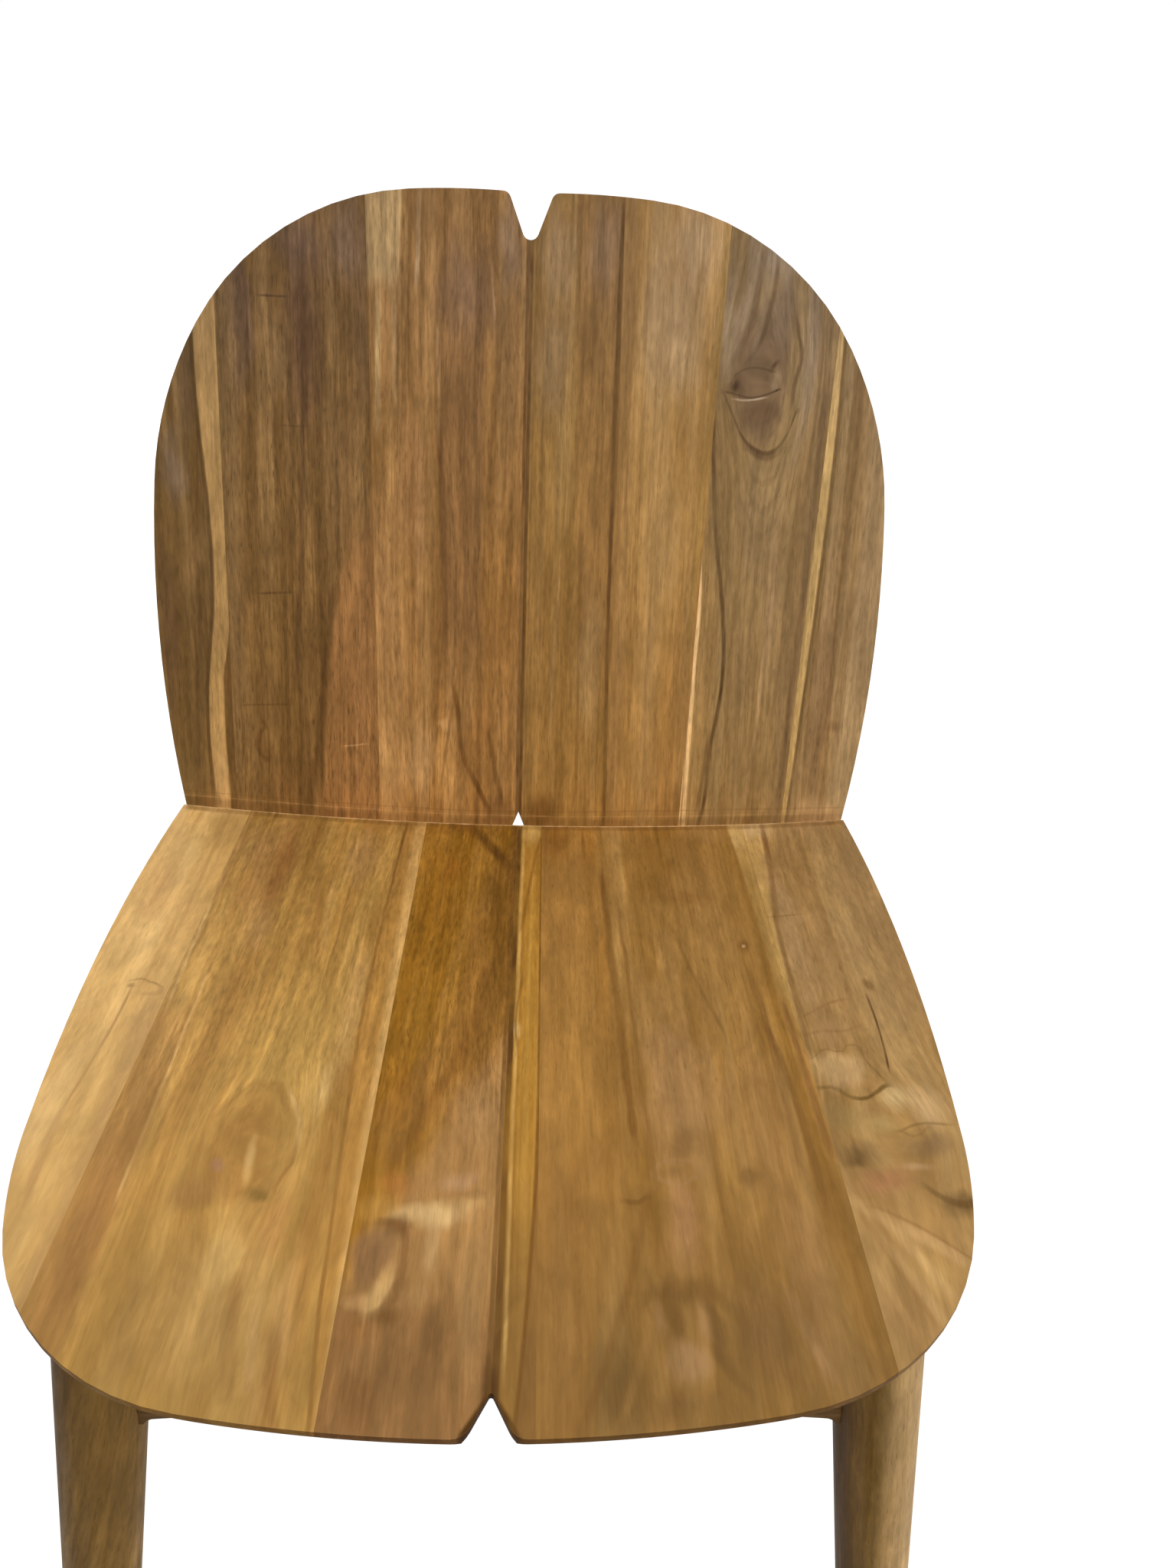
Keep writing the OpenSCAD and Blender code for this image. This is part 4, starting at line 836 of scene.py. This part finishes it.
stave("back_right_main", backPlace, dict(
    tones=[(127, 98, 58), (141, 111, 69), (153, 123, 80)], seed=12, band=11, waver=10, grain=0.22,
    fleck=0.55,
    knots=[dict(at=(148, 306), size=(24, 48), push=1)],
    zones=[
        zone((149, 115, 68), 0.7, right=[(0, 124), (93, 131), (156, 129), (208, 122), (280, 119)], end=285,
            soft=2),
        zone((212, 172, 118), 1, right=[(0, 117.6), (100, 118.4), (185, 118.4), (200, 116)], end=188, run=6,
            soft=0.6, wobble=0.6),
        zone((132, 103, 68), 0.5, left=[(0, 176), (200, 178), (300, 184)], soft=4)],
    blots=[
        blot((125, 336), (6, 40), (166, 138, 101), 0.75),
        blot((150, 306), (19, 46), (118, 91, 63), 0.85, core=0.6, edge=1.15, rag=0.5),
        blot((160, 345), (10, 22), (124, 100, 74), 0.75), blot((152, 284), (11, 7), (106, 79, 52), 0.7),
        blot((160, 303), (2.6, 8), (152, 124, 88), 0.7), blot((134, 301), (6, 7), (100, 74, 48), 0.6),
        blot((150, 215), (12, 40), (136, 109, 74), 0.6), blot((165, 180), (7, 80), (152, 122, 84), 0.6),
        blot((150, 110), (9, 60), (140, 110, 70), 0.5), blot((155, 378), (18, 18), (152, 132, 108), 0.6),
        blot((180, 330), (6, 60), (138, 116, 90), 0.6),
        blot((134, 301), (2.6, 3.6), (62, 44, 28), 0.85, core=0),
        blot((157, 313), (1.8, 4.2), (74, 54, 36), 0.75, turn=-20, core=0),
        blot((121, 348), (1.6, 6), (66, 48, 34), 0.85), blot((120.5, 331), (1.6, 5), (70, 52, 36), 0.85)],
    arches=[
        dict(at=(155, 226), size=(18, 34), radius=4, step=17, point=-1, colour=(118, 90, 56), amount=0.3)],
    lines=[
        stroke([(0, 126), (21, 130), (62, 132), (93, 136), (114, 137), (156, 134), (208, 126), (249, 122),
            (290, 119)], 1.8, (80, 56, 30), 0.85, soft=1.2),
        stroke([(180, 117.2), (215, 117.4), (245, 118)], 1.5, (196, 158, 106), 0.75, soft=0.7, taper=12),
        stroke([(14, 126), (40, 128), (70, 131)], 2, (92, 64, 34), 0.6, soft=1.4),
        stroke([(0, 114.4), (100, 115.6), (200, 117.2)], 0.7, (120, 84, 44), 0.6, soft=0.4),
        stroke([(300, 119), (340, 120.5), (392, 123.5)], 1.6, (96, 72, 46), 0.6, soft=1.2),
        stroke([(306, 127), (330, 132), (352, 137), (384, 139)], 6.5, (150, 124, 92), 0.7, soft=2.5),
        stroke([(314, 131), (335, 139), (360, 143), (386, 146)], 3.2, (116, 90, 60), 0.7, soft=2.4),
        stroke([(312, 138), (325, 146), (345, 151), (374, 154)], 1.8, (98, 74, 48), 0.7, soft=1.6),
        stroke([(318, 142), (345, 147), (378, 151)], 2, (146, 120, 88), 0.5, soft=2),
        stroke([(124, 297), (131, 283), (139, 268), (147, 260.5), (156, 258.5), (163, 263), (169, 274),
            (173, 290)], 1.8, (84, 60, 36), 0.8, level=True, soft=1.6, taper=3),
        stroke([(142, 263), (149, 258), (157, 256.5), (164, 261)], 3.6, (92, 66, 42), 0.7, level=True,
            soft=2.6, taper=5),
        stroke([(130, 300), (134, 308), (142, 311), (150, 310.5), (158, 308)], 1, (88, 66, 42), 0.75,
            level=True, soft=0.9, taper=2, loose=True),
        stroke([(126, 295.5), (134, 293.5), (142, 292), (150, 293.5), (161, 298)], 1, (76, 54, 34), 0.85,
            level=True, soft=0.7, taper=2),
        stroke([(132, 291), (140, 290.4), (152, 292.6)], 0.9, (196, 170, 134), 0.85, level=True, soft=0.5,
            taper=3),
        stroke([(286, 171), (300, 172), (316, 173.5), (328, 172), (340, 168)], 1.6, (94, 70, 46), 0.65,
            soft=1.4, taper=6, loose=True),
        stroke([(330, 180), (300, 178), (270, 175), (250, 172)], 3, (150, 124, 92), 0.5, soft=2.5),
        stroke([(20, 158), (90, 163), (200, 166)], 1.6, (164, 130, 90), 0.5, soft=1.4, wobble=3),
        stroke([(20, 181), (150, 186), (300, 190)], 2.6, (104, 78, 50), 0.65, soft=2),
        stroke([(60, 172), (250, 178)], 1.2, (120, 90, 58), 0.45, soft=1.4)]))

stave("back_right_outer", backPlace, dict(
    tones=[(127, 97, 59), (140, 109, 69), (152, 122, 82)], seed=13, band=7, waver=6, grain=0.2, fleck=0.6,
    zones=[
        zone((155, 126, 88), 0.7, left=[(0, 214), (200, 221), (330, 216)], soft=3),
        zone((182, 147, 92), 1, right=[(10, 187.4), (90, 191.6), (170, 195.2), (250, 197.8), (335, 198)],
            soft=0.5, wobble=0.8)],
    blots=[
        blot((206, 52), (9, 24), (124, 94, 58), 0.5), blot((205, 100), (8, 80), (132, 99, 66), 0.5),
        blot((212, 78), (6, 4), (112, 80, 50), 0.5), blot((212, 14), (20, 16), (172, 136, 94), 0.75)],
    lines=[
        stroke([(10, 188.4), (90, 192.8), (170, 196.6), (250, 199.2), (335, 199.4)], 1.4, (98, 72, 40),
            0.7),
        stroke([(60, 192.5), (170, 198.6), (335, 201.6)], 2, (112, 88, 50), 0.5, soft=1.4),
        stroke([(60, 208), (300, 213)], 1.4, (118, 88, 56), 0.45, soft=1.2)]))
print("back staves ready")

# The frame under the seat and behind the back
frameLook = dict(tones=[(104, 74, 30), (124, 92, 43), (146, 112, 60)], band=12, waver=9)
legLook = dict(tones=[(90, 63, 19), (117, 87, 37), (148, 114, 64)], band=17, waver=12, grain=0.16)
rearTones = dict(tones=[(132, 98, 50), (152, 117, 66), (170, 136, 82)])
legEase, railEase = 0.0012, 0.0015
legLean = dict(front_leg_left=(-6.0, 16.0), front_leg_right=(-6.0, -7.6),
               rear_leg_left=(6.0, 6.5), rear_leg_right=(6.0, -6.5))
legLightAndShade = dict(  # painted light and shade: each front leg is painted lighter on its right side and darker on its left, where the light from the right falls
    front_leg_left=[zone((62, 38, 2), 0.6, right=[(0, -262), (440, -278)], soft=8),
                    zone((136, 104, 58), 0.35, left=[(0, -231), (440, -295)], soft=8)],
    front_leg_right=[zone((170, 138, 92), 0.8, left=[(0, 222), (440, 222)], soft=9),
                     zone((62, 36, 3), 0.8, right=[(0, 212), (440, 212)], soft=8)])
for index, (node, (rake, splay)) in enumerate(legLean.items()):
    look = dict(legLook, seed=20 + index, zones=legLightAndShade.get(node, []))
    if node not in legLightAndShade:
        look.update(rearTones)
    easedPiece(node, woodMaterial(node, look, placed(90 + rake, splay, 0)), legEase)

# Painted shade: the front rail keeps these darker tones for the shade under the seat; the other rails take
# the paler tones
railLookShadedFront = dict(tones=[(76, 50, 17), (92, 64, 27), (110, 79, 38)], band=7, waver=6)
paleTones = dict(tones=[(104, 74, 34), (122, 90, 46), (140, 106, 60)])
for index, (node, place) in enumerate([
        ("front_rail", crosswise), ("rear_rail", crosswise), ("back_rail", crosswise),
        ("side_rail_left", lengthwise), ("side_rail_right", lengthwise)]):
    look = dict(railLookShadedFront, seed=30 + index, **(paleTones if index else {}))
    easedPiece(node, woodMaterial(node, look, place), railEase)

for index, (node, turn) in enumerate([("block_front_left", 45), ("block_front_right", -45),
                                      ("block_rear_left", -45), ("block_rear_right", 45)]):
    look = dict(frameLook, seed=40 + index)
    easedPiece(node, woodMaterial(node, look, placed(0, 0, turn)), railEase)


def dress(node, material):
    # A CAD solid that stays as it is gets its finish
    for slot in nodes[node].material_slots:
        slot.material = material


hiddenLook = dict(tones=[(196, 160, 116), (208, 174, 130), (218, 186, 144)], seed=50, band=5, waver=9,
                  grain=0.08)
for node, place in (("seat_tongue", seatPlace), ("back_tongue", backPlace), ("dowels", crosswise)):
    dress(node, woodMaterial(node, hiddenLook, place))
dress("back_plugs", woodMaterial("back_plugs", dict(frameLook, seed=60, band=4), crosswise))

wear = dict(rough=0.3, relief=0.1, depth=0.0002)


def plainMaterial(name, look):
    # Steel or plastic with faint wear
    material = bpy.data.materials.new(name)
    tree = emptied(material)
    spot = put(tree, "TexCoord").outputs["Object"]
    place = put(tree, "Mapping", {"Vector": spot, "Scale": look["scale"]}).outputs[0]
    noise = put(tree, "TexNoise", {"Vector": place, "Scale": 1.0, "Detail": 4.0}).outputs[0]
    colour = blend(tree, fade(tree, noise, 0.3, 0.7), tone(*look["dark"]), tone(*look["light"]))
    rough = maths(tree, "MULTIPLY_ADD", noise, wear["rough"], look["rough"])
    bump = put(tree, "Bump", {"Height": noise, "Strength": wear["relief"],
                              "Distance": wear["depth"]}).outputs[0]
    shader = put(tree, "BsdfPrincipled", {"Base Color": colour, "Roughness": rough, "Normal": bump,
                                          "Metallic": look["metal"]})
    put(tree, "OutputMaterial", {0: shader.outputs[0]})
    return material


screwLook = dict(dark=(118, 116, 112), light=(168, 166, 162), rough=0.25, metal=1.0,
                 scale=(900.0, 900.0, 2400.0))
glideLook = dict(dark=(30, 28, 26), light=(44, 42, 40), rough=0.45, metal=0.0,
                 scale=(1500.0, 1500.0, 1500.0))
screwSteel = plainMaterial("screwSteel", screwLook)
for node in ("frame_screws", "seat_screws", "batten_screws"):
    dress(node, screwSteel)
dress("foot_glides", plainMaterial("glidePlastic", glideLook))
print("frame and small parts ready")


# The floor and the light

def seenStraight(tree):
    # 1 where a ray comes straight from the camera, or by way of a gloss or glass
    seen = put(tree, "LightPath").outputs
    return maths(tree, "MAXIMUM", seen["Is Camera Ray"],
                 maths(tree, "MAXIMUM", seen["Is Glossy Ray"], seen["Is Transmission Ray"]))


studio = dict(paper=0.3, floorHalf=30.0, near=0.8, far=1.8, nearGlow=0.8, worldLight=0.36)
white = (1.0, 1.0, 1.0, 1.0)
paper = bpy.data.materials.new("paper")
tree = emptied(paper)
dull = put(tree, "BsdfDiffuse", {"Color": (*[studio["paper"]] * 3, 1.0)}).outputs[0]
away = put(tree, "VectorMath", {0: put(tree, "TexCoord").outputs["Object"]}, operation="LENGTH")
strength = fade(tree, away.outputs["Value"], studio["near"], studio["far"],
                studio["nearGlow"], 1.0)  # white all round, with room for a shadow
glow = put(tree, "Emission", {"Color": white, "Strength": strength}).outputs[0]
shown = put(tree, "AddShader", {0: dull, 1: glow}).outputs[0]
shader = put(tree, "MixShader", {0: seenStraight(tree), 1: dull, 2: shown}).outputs[0]
put(tree, "OutputMaterial", {0: shader})
bm = bmesh.new()
bmesh.ops.create_grid(bm, x_segments=1, y_segments=1, size=studio["floorHalf"])
floorMesh = bpy.data.meshes.new("floor")
bm.to_mesh(floorMesh)
bm.free()
floorMesh.materials.append(paper)
floor = bpy.data.objects.new("floor", floorMesh)
bpy.context.scene.collection.objects.link(floor)

world = bpy.data.worlds.new("studio")
bpy.context.scene.world = world
tree = emptied(world)
strength = put(tree, "MapRange", {0: seenStraight(tree), 1: 0.0, 2: 1.0, 3: studio["worldLight"],
                                  4: 1.0}).outputs[0]
background = put(tree, "Background", {"Color": white, "Strength": strength}).outputs[0]
put(tree, "OutputWorld", {0: background})

lamps = dict(
    overhead=dict(at=(0.2, -1.9, 3.2), aim=(0.0, 0.05, 0.55), size=3.0, power=102.0),
    window=dict(at=(2.4, -0.4, 0.5), aim=(0.0, -0.1, 0.3), size=1.0, power=30.0),
    rear=dict(at=(-1.6, 2.6, 1.8), aim=(0.0, 0.1, 0.5), size=1.6, power=48.0))
for name, lamp in lamps.items():
    light = bpy.data.lights.new(name, "AREA")
    light.size = lamp["size"]
    light.energy = lamp["power"]
    towards = Vector(lamp["aim"]) - Vector(lamp["at"])
    holder = bpy.data.objects.new(name, light)
    holder.location = lamp["at"]
    holder.rotation_euler = towards.to_track_quat("-Z", "Y").to_euler()
    bpy.context.scene.collection.objects.link(holder)
print("floor and light ready")

# The camera stands over the seat's front edge and looks down at it
view = dict(across=0.0104, forward=0.6764, rise=0.4483, yaw=3.167, pitch=31.35, roll=-3.086,
            lens=26.3, sensor=36.0)
yaw, pitch, roll = (radians(view[turn]) for turn in ("yaw", "pitch", "roll"))
ahead = Vector((sin(yaw) * cos(pitch), cos(yaw) * cos(pitch), -sin(pitch)))
level = Vector((cos(yaw), -sin(yaw), 0.0))
below = ahead.cross(level)
right = level * cos(roll) + below * sin(roll)
down = -level * sin(roll) + below * cos(roll)
standing = Vector((view["across"], crease["y"] - view["forward"], crease["z"] + view["rise"]))
optics = bpy.data.cameras.new("camera")
optics.lens = view["lens"]
optics.sensor_width = view["sensor"]
camera = bpy.data.objects.new("camera", optics)
camera.matrix_world = (Matrix.Translation(standing)
                       @ Matrix((right, -down, -ahead)).transposed().to_4x4())
bpy.context.scene.collection.objects.link(camera)
bpy.context.scene.camera = camera
bpy.context.scene.view_settings.view_transform = "Standard"

print("done")
